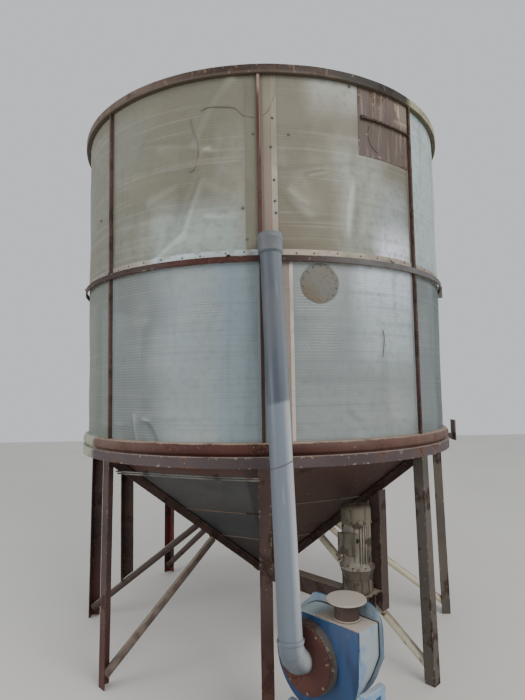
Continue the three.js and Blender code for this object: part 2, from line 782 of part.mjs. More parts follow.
addPiece(
  "motor_fan_cover",
  turnedSolid(
    [
      [0, FAN_COVER_Z],
      [MOTOR_R + 3, FAN_COVER_Z],
      [MOTOR_R + 3, MOTOR_TOP_Z - 22],
      [MOTOR_R - 8, MOTOR_TOP_Z - 5],
      [MOTOR_R - 28, MOTOR_TOP_Z],
      [20, MOTOR_TOP_Z],
      [20, MOTOR_TOP_Z - 8],
      [0, MOTOR_TOP_Z - 8],
    ],
    24,
  ),
  "motor",
  motor,
);

const terminalBox = box(-58, 58, -46, 0, 680, 805).translate(0, -86 - GAP, 0);
terminalBox.rotateZ(THREE.MathUtils.degToRad(-SECTOR_DEG - 35));
addPiece("motor_terminal_box", terminalBox, "motor", motor);

// The blower stands in front and the arms reach right, so the outer box isn't centred on the bin.
const whole = new THREE.Group();
whole.add(dryer);
whole.updateMatrixWorld(true);
const outer = new THREE.Box3().setFromObject(dryer, true);
dryer.position.set(-(outer.min.x + outer.max.x) / 2, -(outer.min.y + outer.max.y) / 2, 0);

export default whole;
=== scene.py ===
"""The looks of a homemade round grain dryer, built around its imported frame.

Lengths are in metres and angles in degrees. Angles about the bin's own axis start at the front, which is -Y,
and grow towards +X. Every mesh is written in the row frame, so its object stays at the origin. Colours are
hexadecimal codes, as the screen shows them.
"""

import math
import random

import bmesh
import bpy
from mathutils import Matrix, Vector, noise


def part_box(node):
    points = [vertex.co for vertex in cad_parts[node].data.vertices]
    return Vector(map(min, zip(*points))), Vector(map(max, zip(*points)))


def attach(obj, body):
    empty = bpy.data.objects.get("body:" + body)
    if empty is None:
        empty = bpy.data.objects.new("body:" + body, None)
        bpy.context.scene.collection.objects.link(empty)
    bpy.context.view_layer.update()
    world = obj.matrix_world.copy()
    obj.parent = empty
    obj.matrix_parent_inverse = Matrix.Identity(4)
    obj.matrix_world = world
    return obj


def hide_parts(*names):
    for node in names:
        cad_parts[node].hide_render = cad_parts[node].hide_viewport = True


# Without a seed, the vector noise follows the clock
noise.seed_set(7)
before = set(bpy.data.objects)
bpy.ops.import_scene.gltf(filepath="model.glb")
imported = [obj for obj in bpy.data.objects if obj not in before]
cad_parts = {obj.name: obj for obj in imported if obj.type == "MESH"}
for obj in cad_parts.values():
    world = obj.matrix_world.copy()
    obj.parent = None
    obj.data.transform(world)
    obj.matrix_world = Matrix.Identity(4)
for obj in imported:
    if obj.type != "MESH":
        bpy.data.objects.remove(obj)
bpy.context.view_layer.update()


def low(node):
    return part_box(node)[0]


def high(node):
    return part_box(node)[1]


# The gap between parts
GAP = 0.0003

# Sizes read from the frame
AXIS = (low("top_rim") + high("top_rim")) / 2
RIM_R = high("top_rim").x - AXIS.x
RIM_BOTTOM = low("top_rim").z
RIM_TOP = high("top_rim").z
WALL_R = high("upper_sheet_front_right").x - AXIS.x
WALL_BOTTOM = low("lower_sheet_front_right").z
WALL_TOP = high("upper_sheet_front_right").z
MID_Z = high("lower_sheet_front_right").z
MID_R = AXIS.x - low("wall_frame").x
LIP_BOTTOM = low("lip_ring").z
BASE_R = AXIS.x - low("base_ring").x
BASE_BOTTOM = low("base_ring").z
LEG_TOP = high("leg_1").z
LEG_FOOT_R = AXIS.y - low("leg_1").y
CORE_R = high("inner_cone").x - AXIS.x
CORE_TOP = high("inner_cylinder").z
CONE_TOP = high("inner_cone").z
PATCH_BOTTOM = low("patch_panel").z
PIPE_TOP_Z = high("air_pipe").z
MOTOR_TOP = high("motor_fan_cover").z
FAN_COVER_Z = low("motor_fan_cover").z
MOTOR_FLANGE_Z = low("motor_body").z
GEARBOX_BOTTOM = low("gearbox").z
BEAM_TOP = high("drive_beam").z

# Sizes that the frame's boxes don't give
UP = Vector((0, 0, 1))
SECTOR = 45
SIDES = 8
ARC = math.radians(1) * WALL_R
SHEET_T = 0.0022
RIB_WIDTH = 0.016
RIB_DEPTH = 0.02
MID_HEIGHT = 0.033
ANGLE_T = 0.006
LEG_SIZE = 0.063
LEG_TOP_R = BASE_R - 0.002
BRACE_R = 0.024
BRACE_FOOT_R = 1.302
BRACE_FOOT_Z = 0.062
BRACE_TOP_R = 0.52
HOPPER_TOP_R = 1.284
HOPPER_TOP = low("skirt_plate").z - GAP
HOPPER_FALL = math.tan(math.radians(37))
PANEL_T = 0.004
OUTLET_R = 0.105
RIB_DROP = 0.007
HOPPER_RIB_DEPTH = 0.055
POST_SIZE = 0.075
FRONT_POST_R = 0.97
SIDE_POST_R = 1.05
JOINT_STRIP_BOTTOM = MID_Z - 0.014
JOINT_STRIP_TOP = MID_Z + 0.053
PATCH_FROM = 26.0
PATCH_TO = 44.5
PATCH_BAR_Z = 3.16
COVER_R = 0.107
COVER_DEG = 14.2
COVER_Z = 2.207
COVER_SCREWS = 14
COVER_SCREW_R = 0.093
ON_WALL = 0.0001
LAP_DEG = 0.63
BEAM_DEPTH = 0.1


def around(deg):
    """The level direction along the wall, towards growing angles."""
    a = math.radians(deg)
    return Vector((math.cos(a), math.sin(a), 0))


def outward(deg):
    a = math.radians(deg)
    return Vector((math.sin(a), -math.cos(a), 0))


def polar(radius, deg, z):
    return Vector((AXIS.x, AXIS.y, z)) + outward(deg) * radius


def smooth(value, start, end):
    share = min(1.0, max(0.0, (value - start) / (end - start)))
    return share * share * (3 - 2 * share)


def pairs(numbers):
    return list(zip(numbers[::2], numbers[1::2]))


def profile(*numbers, foot=0.0):
    """An outline of (radius, height) pairs, in millimetres above a foot."""
    return [(a / 1000, foot + b / 1000) for a, b in pairs(numbers)]


def rectangle(u0, u1, v0, v1):
    return [(u0, v0), (u1, v0), (u1, v1), (u0, v1)]


def angle_section(size, top):
    """The section of an angle iron whose flat side lies at a height."""
    half = size / 2
    inner = -half + ANGLE_T
    under = top - ANGLE_T
    foot = top - size
    return [(-half, top), (half, top), (half, under), (inner, under), (inner, foot), (-half, foot)]


def softened(corners, bevel=0.0015, support=0.012):
    """A closed outline with a small bevel and a worn band at each corner, as (u, v, wear)."""
    result = []
    for i, corner in enumerate(corners):
        here = Vector(corner)
        before = Vector(corners[i - 1]) - here
        after = Vector(corners[(i + 1) % len(corners)]) - here
        steps = [(before, support, 0.45, 0.0), (before, bevel, 0.25, 1.0)]
        steps += [(after, bevel, 0.25, 1.0), (after, support, 0.45, 0.0)]
        for toward, length, most, wear in steps:
            point = here + toward.normalized() * min(length, most * toward.length)
            result.append((point.x, point.y, wear))
    return result


def frame_of(axis):
    """Two directions square to an axis and to each other."""
    side = UP if abs(axis.z) < 0.9 else Vector((1, 0, 0))
    u_axis = axis.cross(side).normalized()
    return u_axis, axis.cross(u_axis).normalized()


def spoke(u_axis, v_axis, i, steps):
    a = 2 * math.pi * i / steps
    return u_axis * math.cos(a) + v_axis * math.sin(a)


def curve_through(points, per_span=6):
    """A smooth line through given points."""
    ends = [points[0] * 2 - points[1]] + list(points) + [points[-1] * 2 - points[-2]]
    line = []
    for i in range(1, len(ends) - 2):
        p0, p1, p2, p3 = ends[i - 1 : i + 3]
        bend = 2 * p0 - 5 * p1 + 4 * p2 - p3
        twist = 3 * p1 - p0 - 3 * p2 + p3
        for j in range(per_span):
            t = j / per_span
            line.append(0.5 * (2 * p1 + (p2 - p0) * t + bend * t * t + twist * t**3))
    return line + [points[-1]]


def link_object(name, data):
    made = bpy.data.objects.new(name, data)
    bpy.context.scene.collection.objects.link(made)
    return made


class Shape:
    """Points, faces and edge wear, gathered before they become one piece. Its methods return it."""

    def __init__(self):
        self.points = []
        self.faces = []
        self.wear = []

    def add(self, points, faces, wear=None):
        start = len(self.points)
        self.points += points
        self.faces += [[start + i for i in face] for face in faces]
        self.wear += wear or [0.0] * len(points)
        return self

    def roughen(self, amount, scale=9.0):
        """Moves each point a little, so that rolled steel isn't perfect."""
        self.points = [point + noise.noise_vector(point * scale) * amount for point in self.points]
        return self

    def loft(self, rows, wear=None, closed=False):
        """A skin through rows of points, each of which runs round, with its ends shut unless it is closed."""
        count = len(rows[0])
        points = [point for row in rows for point in row]
        faces = []
        for i in range(len(rows) if closed else len(rows) - 1):
            a = i * count
            b = (i + 1) % len(rows) * count
            for j in range(count):
                k = (j + 1) % count
                faces.append([a + j, a + k, b + k, b + j])
        if not closed:
            faces += [list(range(count)), list(range(len(points) - count, len(points)))]
        return self.add(points, faces, wear)

    def slab(self, across, up, place):
        """A thin plate between two grids. place gives the point and wear of a layer, column and row."""
        spots = [place(layer, i, j) for layer in (0, 1) for i in range(across + 1) for j in range(up + 1)]
        row = up + 1
        half = (across + 1) * row
        faces = []
        for i in range(across):
            for j in range(up):
                a = i * row + j
                faces.append([a, a + row, a + row + 1, a + 1])
                faces.append([half + a, half + a + 1, half + a + row + 1, half + a + row])
        rim = [i * row for i in range(across + 1)] + [across * row + j for j in range(1, up + 1)]
        rim += [i * row + up for i in range(across - 1, -1, -1)] + list(range(up - 1, 0, -1))
        faces += [[a, half + a, half + b, b] for a, b in zip(rim, rim[1:] + rim[:1])]
        return self.add([point for point, _ in spots], faces, [wear for _, wear in spots])

    def sweep(self, outline, stations, closed=False):
        """Carries an outline of (u, v, wear) along stations of (point, u axis, v axis, wear)."""
        rows = [
            [spot + u_axis * u + v_axis * v for u, v, _ in outline]
            for spot, u_axis, v_axis, _ in stations
        ]
        wear = [max(edge, end_wear) for *_, end_wear in stations for *_, edge in outline]
        return self.loft(rows, wear, closed)

    def bar(self, start, end, corners, u_axis, v_axis=UP, bevel=0.0015, spacing=0.12):
        """A straight bar with worn ends: corners are its section."""
        along = end - start
        inset = min(0.012, 0.3 * along.length)
        middle = along.length - 2 * inset
        inner = max(1, round(middle / spacing))
        places = [0.0] + [inset + middle * i / inner for i in range(inner)]
        places += [along.length - inset, along.length]
        direction = along.normalized()
        ends = (0.0, along.length)
        stations = [(start + direction * place, u_axis, v_axis, float(place in ends)) for place in places]
        return self.sweep(softened(corners, bevel), stations)

    def ring(self, outline, start=0.0, end=360.0, step=2.5):
        """A rolled section round the bin: the outline is (radius, height, wear)."""
        closed = end - start >= 360
        count = max(2, round((end - start) / step))
        stations = []
        for i in range(count if closed else count + 1):
            deg = start + (end - start) * i / count
            at_end = not closed and i in (0, count)
            stations.append((Vector((AXIS.x, AXIS.y, 0)), outward(deg), UP, float(at_end)))
        return self.sweep(outline, stations, closed)

    def turned(self, outline, foot, axis=UP, steps=32, wear=None):
        """Turns an open outline of (radius, height), which starts and ends on the axis."""
        u_axis, v_axis = frame_of(axis)
        inner = outline[1:-1]
        count = len(inner)
        points = [foot + axis * outline[0][1]]
        for i in range(steps):
            out = spoke(u_axis, v_axis, i, steps)
            points += [foot + axis * height + out * radius for radius, height in inner]
        points.append(foot + axis * outline[-1][1])
        faces = []
        for i in range(steps):
            a = 1 + i * count
            b = 1 + (i + 1) % steps * count
            faces.append([0, a, b])
            faces += [[a + j, a + j + 1, b + j + 1, b + j] for j in range(count - 1)]
            faces.append([len(points) - 1, b + count - 1, a + count - 1])
        return self.add(points, faces, [0.0] + (wear or [0.0] * count) * steps + [0.0])

    def tube(self, line, radius, sides=8):
        """A round bar along a line. The radius may be a number or one for each point."""
        radii = radius if isinstance(radius, list) else [radius] * len(line)
        u_axis = frame_of((line[1] - line[0]).normalized())[0]
        rows = []
        for i, point in enumerate(line):
            direction = (line[min(i + 1, len(line) - 1)] - line[max(i - 1, 0)]).normalized()
            u_axis = (u_axis - direction * u_axis.dot(direction)).normalized()
            v_axis = direction.cross(u_axis)
            rows.append([point + spoke(u_axis, v_axis, j, sides) * radii[i] for j in range(sides)])
        return self.loft(rows)

    def weld(self, start, end, radius=0.004, seed=0):
        """A lumpy weld bead between two points."""
        count = max(4, round((end - start).length / (radius * 1.4)))
        lumps = random.Random(seed)
        line = []
        radii = []
        for i in range(count + 1):
            drift = Vector([lumps.uniform(-1, 1) * radius * 0.15 for _ in range(3)])
            line.append(start.lerp(end, i / count) + drift)
            radii.append(radius * (0.55 if i in (0, count) else lumps.uniform(0.85, 1.15)))
        return self.tube(line, radii, 6)

    def screw(self, point, normal, radius):
        outline = [(0, -0.001), (radius * 1.5, -0.001), (radius * 1.5, 0.0008), (radius, 0.001)]
        outline += [(radius * 0.95, radius * 0.4), (radius * 0.6, radius * 0.7), (0, radius * 0.78)]
        return self.turned(outline, point, normal, 10)

    def hex_bolt(self, point, normal, size):
        washer = [(0, -0.001), (size * 1.3, -0.001), (size * 1.3, 0.0015), (0, 0.0015)]
        head = [(0, 0.001), (size, 0.001), (size, size * 0.6), (size * 0.85, size * 0.72), (0, size * 0.72)]
        return self.turned(washer, point, normal, 14).turned(head, point, normal, 6)

    def piece(self, name, material, slot, *replaces, sharp=35):
        """Makes the object, which stands for the nodes named in replaces."""
        mesh = bpy.data.meshes.new(name)
        mesh.from_pydata([tuple(p) for p in self.points], [], self.faces)
        mesh.attributes.new("wear", "FLOAT", "POINT").data.foreach_set("value", self.wear)
        tidy = bmesh.new()
        tidy.from_mesh(mesh)
        bmesh.ops.recalc_face_normals(tidy, faces=tidy.faces)
        tidy.to_mesh(mesh)
        tidy.free()
        mesh.shade_smooth()
        mesh.set_sharp_from_angle(angle=math.radians(sharp))
        mesh.materials.append(MATERIALS[material])
        made = link_object(name, mesh)
        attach(made, "root")
        if replaces:
            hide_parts(*replaces)


# Materials

MATERIALS = {}


def linear(code):
    """A colour code in the linear values that a shader takes."""
    values = [int(code[i : i + 2], 16) / 255 for i in (0, 2, 4)]
    return tuple(c / 12.92 if c <= 0.04045 else ((c + 0.055) / 1.055) ** 2.4 for c in values)


def put(socket, value):
    """Links a socket to a value, or sets it to a colour code or a number."""
    if isinstance(value, Value):
        socket.id_data.links.new(value.socket, socket)
    elif isinstance(value, str):
        socket.default_value = (*linear(value), 1)
    else:
        socket.default_value = value


class Value:
    """A number or a colour in a material's node tree. What is done to it adds nodes there."""

    def __init__(self, socket):
        self.socket = socket

    def math(self, operation, other=0.0):
        node = self.socket.id_data.nodes.new("ShaderNodeMath")
        node.operation = operation
        put(node.inputs[0], self)
        put(node.inputs[1], other)
        return Value(node.outputs[0])

    def __add__(self, other):
        return self.math("ADD", other)

    def __sub__(self, other):
        return self.math("SUBTRACT", other)

    def __mul__(self, other):
        return self.math("MULTIPLY", other)

    def step(self, start, end, to_low=0.0, to_high=1.0):
        """A smooth step from one level to another."""
        node = self.socket.id_data.nodes.new("ShaderNodeMapRange")
        node.interpolation_type = "SMOOTHSTEP"
        names = ("Value", "From Min", "From Max", "To Min", "To Max")
        for name, value in zip(names, (self, start, end, to_low, to_high)):
            put(node.inputs[name], value)
        return Value(node.outputs[0])

    def window(self, start, end, soft):
        """One inside a range and nothing outside, with soft ends."""
        return self.step(start - soft, start + soft) * self.step(end - soft, end + soft, 1.0, 0.0)


class Finish:
    """A procedural material, whose shade takes one coat after another."""

    def __init__(self, name, roughness=0.7, metallic=0.0, specular=None):
        material = bpy.data.materials.new(name)
        material.use_nodes = True
        MATERIALS[name] = material
        self.tree = material.node_tree
        self.shader = self.tree.nodes["Principled BSDF"].inputs
        self.shader["Roughness"].default_value = roughness
        self.shader["Metallic"].default_value = metallic
        if specular:
            self.shader["Specular IOR Level"].default_value = specular
        self.place = Value(self.tree.nodes.new("ShaderNodeTexCoord").outputs["Object"])
        self.shade = None

    def noise(self, scale, detail=4.0, stretch=(1, 1, 1)):
        mapping = self.tree.nodes.new("ShaderNodeMapping")
        mapping.inputs["Scale"].default_value = stretch
        put(mapping.inputs["Vector"], self.place)
        node = self.tree.nodes.new("ShaderNodeTexNoise")
        node.inputs["Scale"].default_value = scale
        node.inputs["Detail"].default_value = detail
        put(node.inputs["Vector"], Value(mapping.outputs[0]))
        return Value(node.outputs[0])

    def mix(self, share, first, second):
        node = self.tree.nodes.new("ShaderNodeMix")
        node.data_type = "RGBA"
        put(node.inputs[0], share)
        put(node.inputs[6], first)
        put(node.inputs[7], second)
        return Value(node.outputs[2])

    def coat(self, share, colour):
        self.shade = self.mix(share, self.shade, colour)

    def wear(self):
        node = self.tree.nodes.new("ShaderNodeAttribute")
        node.attribute_name = "wear"
        return Value(node.outputs["Fac"])

    def part(self, axis, source=None):
        node = self.tree.nodes.new("ShaderNodeSeparateXYZ")
        put(node.inputs[0], source or self.place)
        return Value(node.outputs[axis])

    def facing(self, axis):
        return self.part(axis, Value(self.tree.nodes.new("ShaderNodeNewGeometry").outputs["Normal"]))

    def uneven_height(self, scale, detail, amount):
        return self.part(2) + self.noise(scale, detail) * amount

    def angle(self):
        """The angle about the bin's axis, in degrees from the front."""
        back = (self.part(1) - AXIS.y) * -1.0
        return (self.part(0) - AXIS.x).math("ARCTAN2", back) * (180 / math.pi)

    def close(self, roughness, height, strength, depth=0.001):
        """Links the shade, a roughness and a bump to the shader."""
        put(self.shader["Base Color"], self.shade)
        put(self.shader["Roughness"], roughness)
        node = self.tree.nodes.new("ShaderNodeBump")
        node.inputs["Strength"].default_value = strength
        node.inputs["Distance"].default_value = depth
        put(node.inputs["Height"], height)
        put(self.shader["Normal"], Value(node.outputs[0]))


def worn_steel(name, paint, rust, bare, chips=0.5, dust=None, scale=7.0, touch=None, roughness=(0.55, 0.9)):
    """Old paint over steel: two paint tones, two rust tones in patches, bare chips and rubbed edges.

    touch, if given, lays the last coats."""
    f = Finish(name, specular=0.3)
    painted = f.mix(f.noise(scale * 0.5, 5).step(0.35, 0.65), *paint)
    grain = f.noise(scale * 14, 3)
    rusted = f.mix(grain.step(0.38, 0.62), *rust)
    patchy = f.noise(scale, 8) + f.wear() * 0.07
    share = patchy.step(0.62 - 0.2 * chips, 0.68 - 0.16 * chips)
    f.shade = f.mix(share, painted, rusted)
    flecks = f.noise(scale * 9, 6) + f.wear() * 0.09
    f.coat(flecks.step(0.66, 0.71) * 0.6, bare)
    if dust:
        settled = f.facing(2).step(0.35, 0.95) * f.noise(scale * 2, 4)
        f.coat(settled.step(0.15, 0.45), dust)
    if touch:
        touch(f)
    level = share * 0.6 + grain * 0.5
    f.close(level.step(0.1, 0.9, *roughness), level, 0.6, 0.0012)


def plain_zinc(name, tones, roughness=0.5, rust_share=0.0, touch=None):
    f = Finish(name, roughness, 0.35)
    clouds = f.noise(6, 7)
    f.shade = f.mix(clouds.step(0.35, 0.65), tones[0], tones[1])
    specks = f.noise(60, 3)
    f.coat(specks.step(0.55, 0.7, 0.0, 0.5), tones[2])
    if rust_share:
        f.coat(f.noise(9, 6).step(0.66 - rust_share, 0.72 - rust_share, 0.0, 0.8), RUST[1])
    if touch:
        touch(f)
    f.close(clouds.step(0.3, 0.7, roughness - 0.1, roughness + 0.15), clouds + specks * 0.3, 0.3)


PERFORATION_ROW = 0.0155
PERFORATION_SLOT = 0.023


def perforation(f):
    """Soft rows of slots round the bin: one at a slot's middle, nothing between slots."""
    height = f.part(2)
    rows = (height * (2 * math.pi / PERFORATION_ROW)).math("SINE")
    shift = height.math("DIVIDE", PERFORATION_ROW).math("FLOOR") * math.pi
    turns = f.angle() * ARC * (2 * math.pi / PERFORATION_SLOT)
    return rows.step(-0.2, 0.9) * (turns + shift).math("SINE").step(-0.6, 0.3, 0.7, 1.0)


def perforated_sheet(name, tones, alpha, dust, contrast, tints_and_painted_light=(), patches=()):
    """Finely perforated galvanised sheet, which lets some light through.

    The tints are (from degree, to degree, softness, from height, to height, share, colour): some make
    stretches darker, and the pale, blue-white ones are painted light, sky seen through the sheet and
    reflected on it.
    patches, given by two corners, show their holes more, with more painted light through them."""
    f = Finish(name, 0.5, 0.2, 0.4)
    f.shade = f.mix(f.noise(1.3, 3).step(0.38, 0.62), tones[0], tones[1])
    for first, last, soft, lowest, highest, share, tint in tints_and_painted_light:
        inside = f.angle().window(first, last, soft) * f.part(2).window(lowest, highest, 0.12)
        f.coat(inside * share, tint)
    f.coat(f.noise(16, 4, (1, 1, 0.09)).step(0.5, 0.75, 0.0, 0.3), tones[2])
    clouds = f.noise(3.4, 6)
    f.coat(clouds.step(0.5, 0.72, 0.0, dust), DUST)
    f.coat(f.noise(2.1, 5, (1, 1, 0.7)).step(0.55, 0.75, 0.0, 0.25), "c4c8c2")
    lines = f.noise(42, 5, (0.02, 0.02, 1))
    f.coat(lines.step(0.52, 0.68, 0.0, 0.15 + contrast), tones[2])
    f.coat(lines.step(0.32, 0.46, 0.12, 0.0), "c4c6be")
    f.coat(f.noise(26, 6).step(0.48, 0.7, 0.0, 0.3), tones[2])
    # Painted shade in the dents' hollows, a painted highlight along their ridges and painted glints on the
    # deepest ones.
    dents = f.wear()
    f.coat(dents.step(-1.0, -0.1, 0.22, 0.0), "60625e")
    f.coat(dents.step(0.2, 0.9, 0.0, 0.12), "ccd0c8")
    f.coat(dents.step(0.75, 1.05, 0.0, 0.35), "ced3cc")
    holes = perforation(f)
    for (deg0, z0), (deg1, z1) in patches:
        inside = f.angle().window(deg0, deg1, 1.2) * f.part(2).window(z0, z1, 0.03)
        contrast = inside * f.noise(6, 2).step(0.3, 0.64) * 0.5 + contrast
    # The rows of holes are painted near white, as painted light seen through them; they also make the sheet
    # more see-through and give its bump.
    painted_hole_light = holes * contrast
    f.coat(painted_hole_light, "e2e4de")
    if alpha < 1:
        put(f.shader["Alpha"], (clouds - 0.5) * 0.2 + alpha - painted_hole_light * 0.4)
    f.close(clouds.step(0.3, 0.7, 0.42, 0.68), painted_hole_light * 0.6 + clouds * 1.5, 0.2)


def rim_touch(f):
    """A dusty lower edge, an underside painted paler as dust and as painted light, a dirty pale stretch on
    the left, and a paler one on the right.
    """
    left = f.angle().step(-34, -10, 0.75, 0.0)
    f.coat(left * f.noise(14, 5).step(0.32, 0.5, 0.35, 1.0), "705e52")
    uneven = f.uneven_height(20, 4, 0.008)
    f.coat(uneven.step(RIM_BOTTOM + 0.014, RIM_BOTTOM + 0.022, 0.75, 0.0), "54493e")
    f.coat(f.angle().window(20, 44, 3) * 0.85, "2e2b27")
    right = f.angle().window(44, 100, 1.5)
    f.coat(right * f.noise(12, 4).step(0.3, 0.6, 0.45, 0.9), "9e9c7e")
    f.coat(f.noise(38, 6, (1, 1, 0.4)).step(0.58, 0.7, 0.0, 0.5), "887264")
    # Faces turned down are painted paler: partly dust, partly painted light.
    f.coat(f.facing(2).step(-0.9, -0.4, 0.85, 0.0), "544b3f")


def pale_left(f):
    """A pale greenish stretch on the left."""
    left = f.angle().window(-104, -54, 2)
    f.coat(left * f.noise(10, 4).step(0.25, 0.55, 0.4, 0.95), "9ea290")


def lip_touch(f):
    """A dusty, ragged top edge, greyer ends, and the pale stretch on the left."""
    ends = f.angle().step(5, 34, 0.0, 0.75) + f.angle().step(-44, -20, 0.75, 0.0)
    f.coat(ends * f.noise(8, 4).step(0.35, 0.6, 0.5, 1.0), "6c564c")
    top = WALL_BOTTOM + 0.0055
    f.coat(f.uneven_height(30, 7, 0.034).step(top, top + 0.01, 0.0, 0.7), "968270")
    pale_left(f)


def base_touch(f):
    """A thin rubbed line along the top edge, and the pale stretch on the left."""
    ragged = f.uneven_height(24, 5, 0.01)
    f.coat(ragged.step(LIP_BOTTOM + 0.0015, LIP_BOTTOM + 0.004, 0.0, 0.6), "90827a")
    pale_left(f)


def ring_touch(f):
    """Redder paint left of the front rib, and dry, greyish paint on the right."""
    f.coat(f.angle().window(-26, 0, 4) * 0.5, "4e2821")
    f.coat(f.angle().step(8, 30, 0.0, 0.8) * f.noise(8, 5).step(0.3, 0.6, 0.6, 1.0), "6c6c6c")


def rib_touch(f):
    """The front rib: pinkish primer at the top, then red-brown, and painted shade, nearly black, under the
    middle ring.
    """
    front = f.angle().window(-2, 2, 0.2)
    f.coat(front * 0.7, "582e2b")
    uneven = f.uneven_height(9, 4, 0.1)
    right_half = f.angle().step(0.08, 0.16) * uneven.step(2.9, 3.05, 0.0, 0.6)
    f.coat(front * uneven.step(3.28, 3.34, 0.0, 0.8).math("MAXIMUM", right_half), "968070")
    # Painted shade makes the rib nearly black under the middle ring.
    f.coat(front * f.part(2).step(MID_Z - 0.03, MID_Z, 0.8, 0.0), "342a28")


def brace_touch(f):
    """The front left brace's paint, which is worn pale near the ground."""
    low_part = f.uneven_height(7, 3, 0.3).step(0.4, 0.7, 0.7, 0.25) * f.angle().window(-66, -24, 4)
    f.coat(low_part * f.noise(17, 6).step(0.4, 0.6, 0.35, 1.0), "84766a")


def primer_touch(f):
    """Redder primer towards the ground."""
    f.coat(f.uneven_height(6, 4, 0.5).step(0.35, 0.9, 0.6, 0.0), "522c26")


def motor_touch(f):
    """Dark runs down the motor, and a dirty top."""
    f.coat(f.noise(44, 5, (1, 1, 0.1)).step(0.5, 0.66, 0.0, 0.6), "38312b")
    f.coat(f.uneven_height(20, 4, 0.03).step(MOTOR_TOP - 0.02, MOTOR_TOP + 0.01, 0.0, 0.6), "4e443c")


def patch_touch(f):
    """Dark and light streaks down the plate, and a ragged beige corner at its top right."""
    streaks = f.noise(34, 5, (1, 1, 0.07))
    f.coat(streaks.step(0.5, 0.68, 0.0, 0.55), "544840")
    f.coat(streaks.step(0.34, 0.46, 0.5, 0.0), "968a7c")
    corner = f.angle() + f.noise(16, 5) * 9.0
    f.coat(corner.step(43.5, 45.5) * f.part(2).step(3.19, 3.25, 0.0, 0.8), "b2a08c")


def cover_touch(f):
    """A brown-yellow stain at the round plate's lower left."""
    stain = f.part(2) + f.angle() * 0.02 + f.noise(14, 4) * 0.12
    f.coat(stain.step(2.43, 2.51, 0.5, 0.0), "74644c")


def strip_touch(f):
    """The strip beside the front rib, which shows the sheet's own tone higher up."""
    f.coat(f.uneven_height(5, 4, 0.3).step(2.95, 3.15, 0.0, 0.85), "7e7868")


def joint_touch(f):
    """Whitish-blue zinc left of the front rib, beige further left, and grime."""
    f.coat(f.angle().window(-29, 0, 1) * 0.8, "b2c0c4")
    f.coat(f.angle().window(-120, -31, 3) * 0.7, "8e8a7e")
    f.coat(f.noise(18, 6, (1, 1, 2)).step(0.5, 0.66, 0.0, 0.6), "887e70")


LOWER_LAP_Z = 0.66


def panel_touch(f):
    """Brown under the rim and beside the leg, and bare brown steel near the outlet."""
    f.coat(f.part(2).step(LOWER_LAP_Z - 0.012, LOWER_LAP_Z - 0.008, 0.9, 0.0), "463832")
    uneven = f.uneven_height(6, 4, 0.05)
    f.coat(uneven.step(0.85, 1.05, 0.5, 0.0), "2e2e32")
    f.coat(uneven.step(1.185, 1.21, 0.0, 0.85), "603c32")
    f.coat(f.angle().step(-6.5, -5.0, 0.0, 0.6), "322e2c")


RUST = ("50362c", "6c4e3e")
DARK_RUST = ("322622", "4a3830")
DUST = "928678"
STEELS = (
    # Name, two paint tones, two rust tones, bare steel, chips, dust, scale, last coats, roughness
    ("brown_steel", ("42332f", "523f39"), DARK_RUST, "7e7066", 0.4, DUST),
    ("rib_steel", ("483430", "56403a"), DARK_RUST, "74645a", 0.25, DUST, 8.0, rib_touch),
    ("ring_steel", ("362622", "42302a"), ("2e221e", "46342c"), "827062", 0.25, DUST, 5.0, ring_touch),
    ("rim_steel", ("322621", "42312a"), DARK_RUST, "8e7e72", 0.35, DUST, 8.0, rim_touch),
    ("base_steel", ("493d3e", "554848"), RUST, "9c928a", 0.2, DUST, 5.0, base_touch),
    ("lip_steel", ("44241f", "542e27"), ("36231f", "56382d"), "886e60", 0.4, DUST, 6.0, lip_touch),
    # The legs' two primers are darkened as painted shade from the bin above.
    ("pink_primer", ("3e2e2b", "523e39"), DARK_RUST, "80746a", 0.3, DUST, 6.0, primer_touch),
    ("grey_primer", ("4e4842", "5d554e"), DARK_RUST, "888278", 0.3, DUST, 6.0),
    ("red_paint", ("642c2a", "5c322f"), DARK_RUST, "82625a", 0.3, DUST, 6.0),
    ("brace_steel", ("463a36", "54443e"), DARK_RUST, "88786c", 0.3, DUST, 6.0, brace_touch),
    ("cream_paint", ("c0b7a0", "cec6b0"), RUST, "786050", 0.36, DUST, 9.0),
    ("hopper_brown", ("47342e", "543d35"), DARK_RUST, "706258", 0.35, None, 3.0),
    ("skirt_red", ("60382e", "54322b"), DARK_RUST, "826254", 0.4, DUST),
    ("motor_paint", ("625c4f", "726a5c"), ("3e3832", "5a5044"), "8c8272", 0.45, None, 11.0, motor_touch),
    ("fin_paint", ("80796e", "948c80"), ("4c443c", "685c50"), "a09688", 0.4, None, 11.0, motor_touch),
    ("gearbox_paint", ("544c43", "665c50"), ("342e2a", "4c423a"), "6e6458", 0.45, None, 11.0, motor_touch),
    # The inlet disc's tones are darkened as painted shade from the bin above, over its rust.
    ("disc_rust", ("482b27", "5a3730"), ("382622", "643e32"), "70584c", 0.4, None, 9.0, None, (0.75, 0.95)),
    ("stub_steel", ("463732", "54443d"), ("3a2c27", "503e35"), "867668", 0.4, DUST, 10.0),
    ("collar_steel", ("443f3d", "524c48"), ("38302b", "4c4038"), "807266", 0.2, None, 5.0),
    ("pale_plate", ("989083", "a49d90"), ("806d5d", "948272"), "b8afa2", 0.4, "a59c91", 9.0),
    ("patch_steel", ("5c504a", "6a5d55"), ("504039", "66554a"), "968a7c", 0.4, None, 5.0, patch_touch),
    ("dark_bar", ("3e322e", "4e3e37"), DARK_RUST, "8c7e72", 0.4, DUST, 12.0),
    ("lap_steel", ("685a50", "786a5f"), DARK_RUST, "8c8074", 0.3),
)
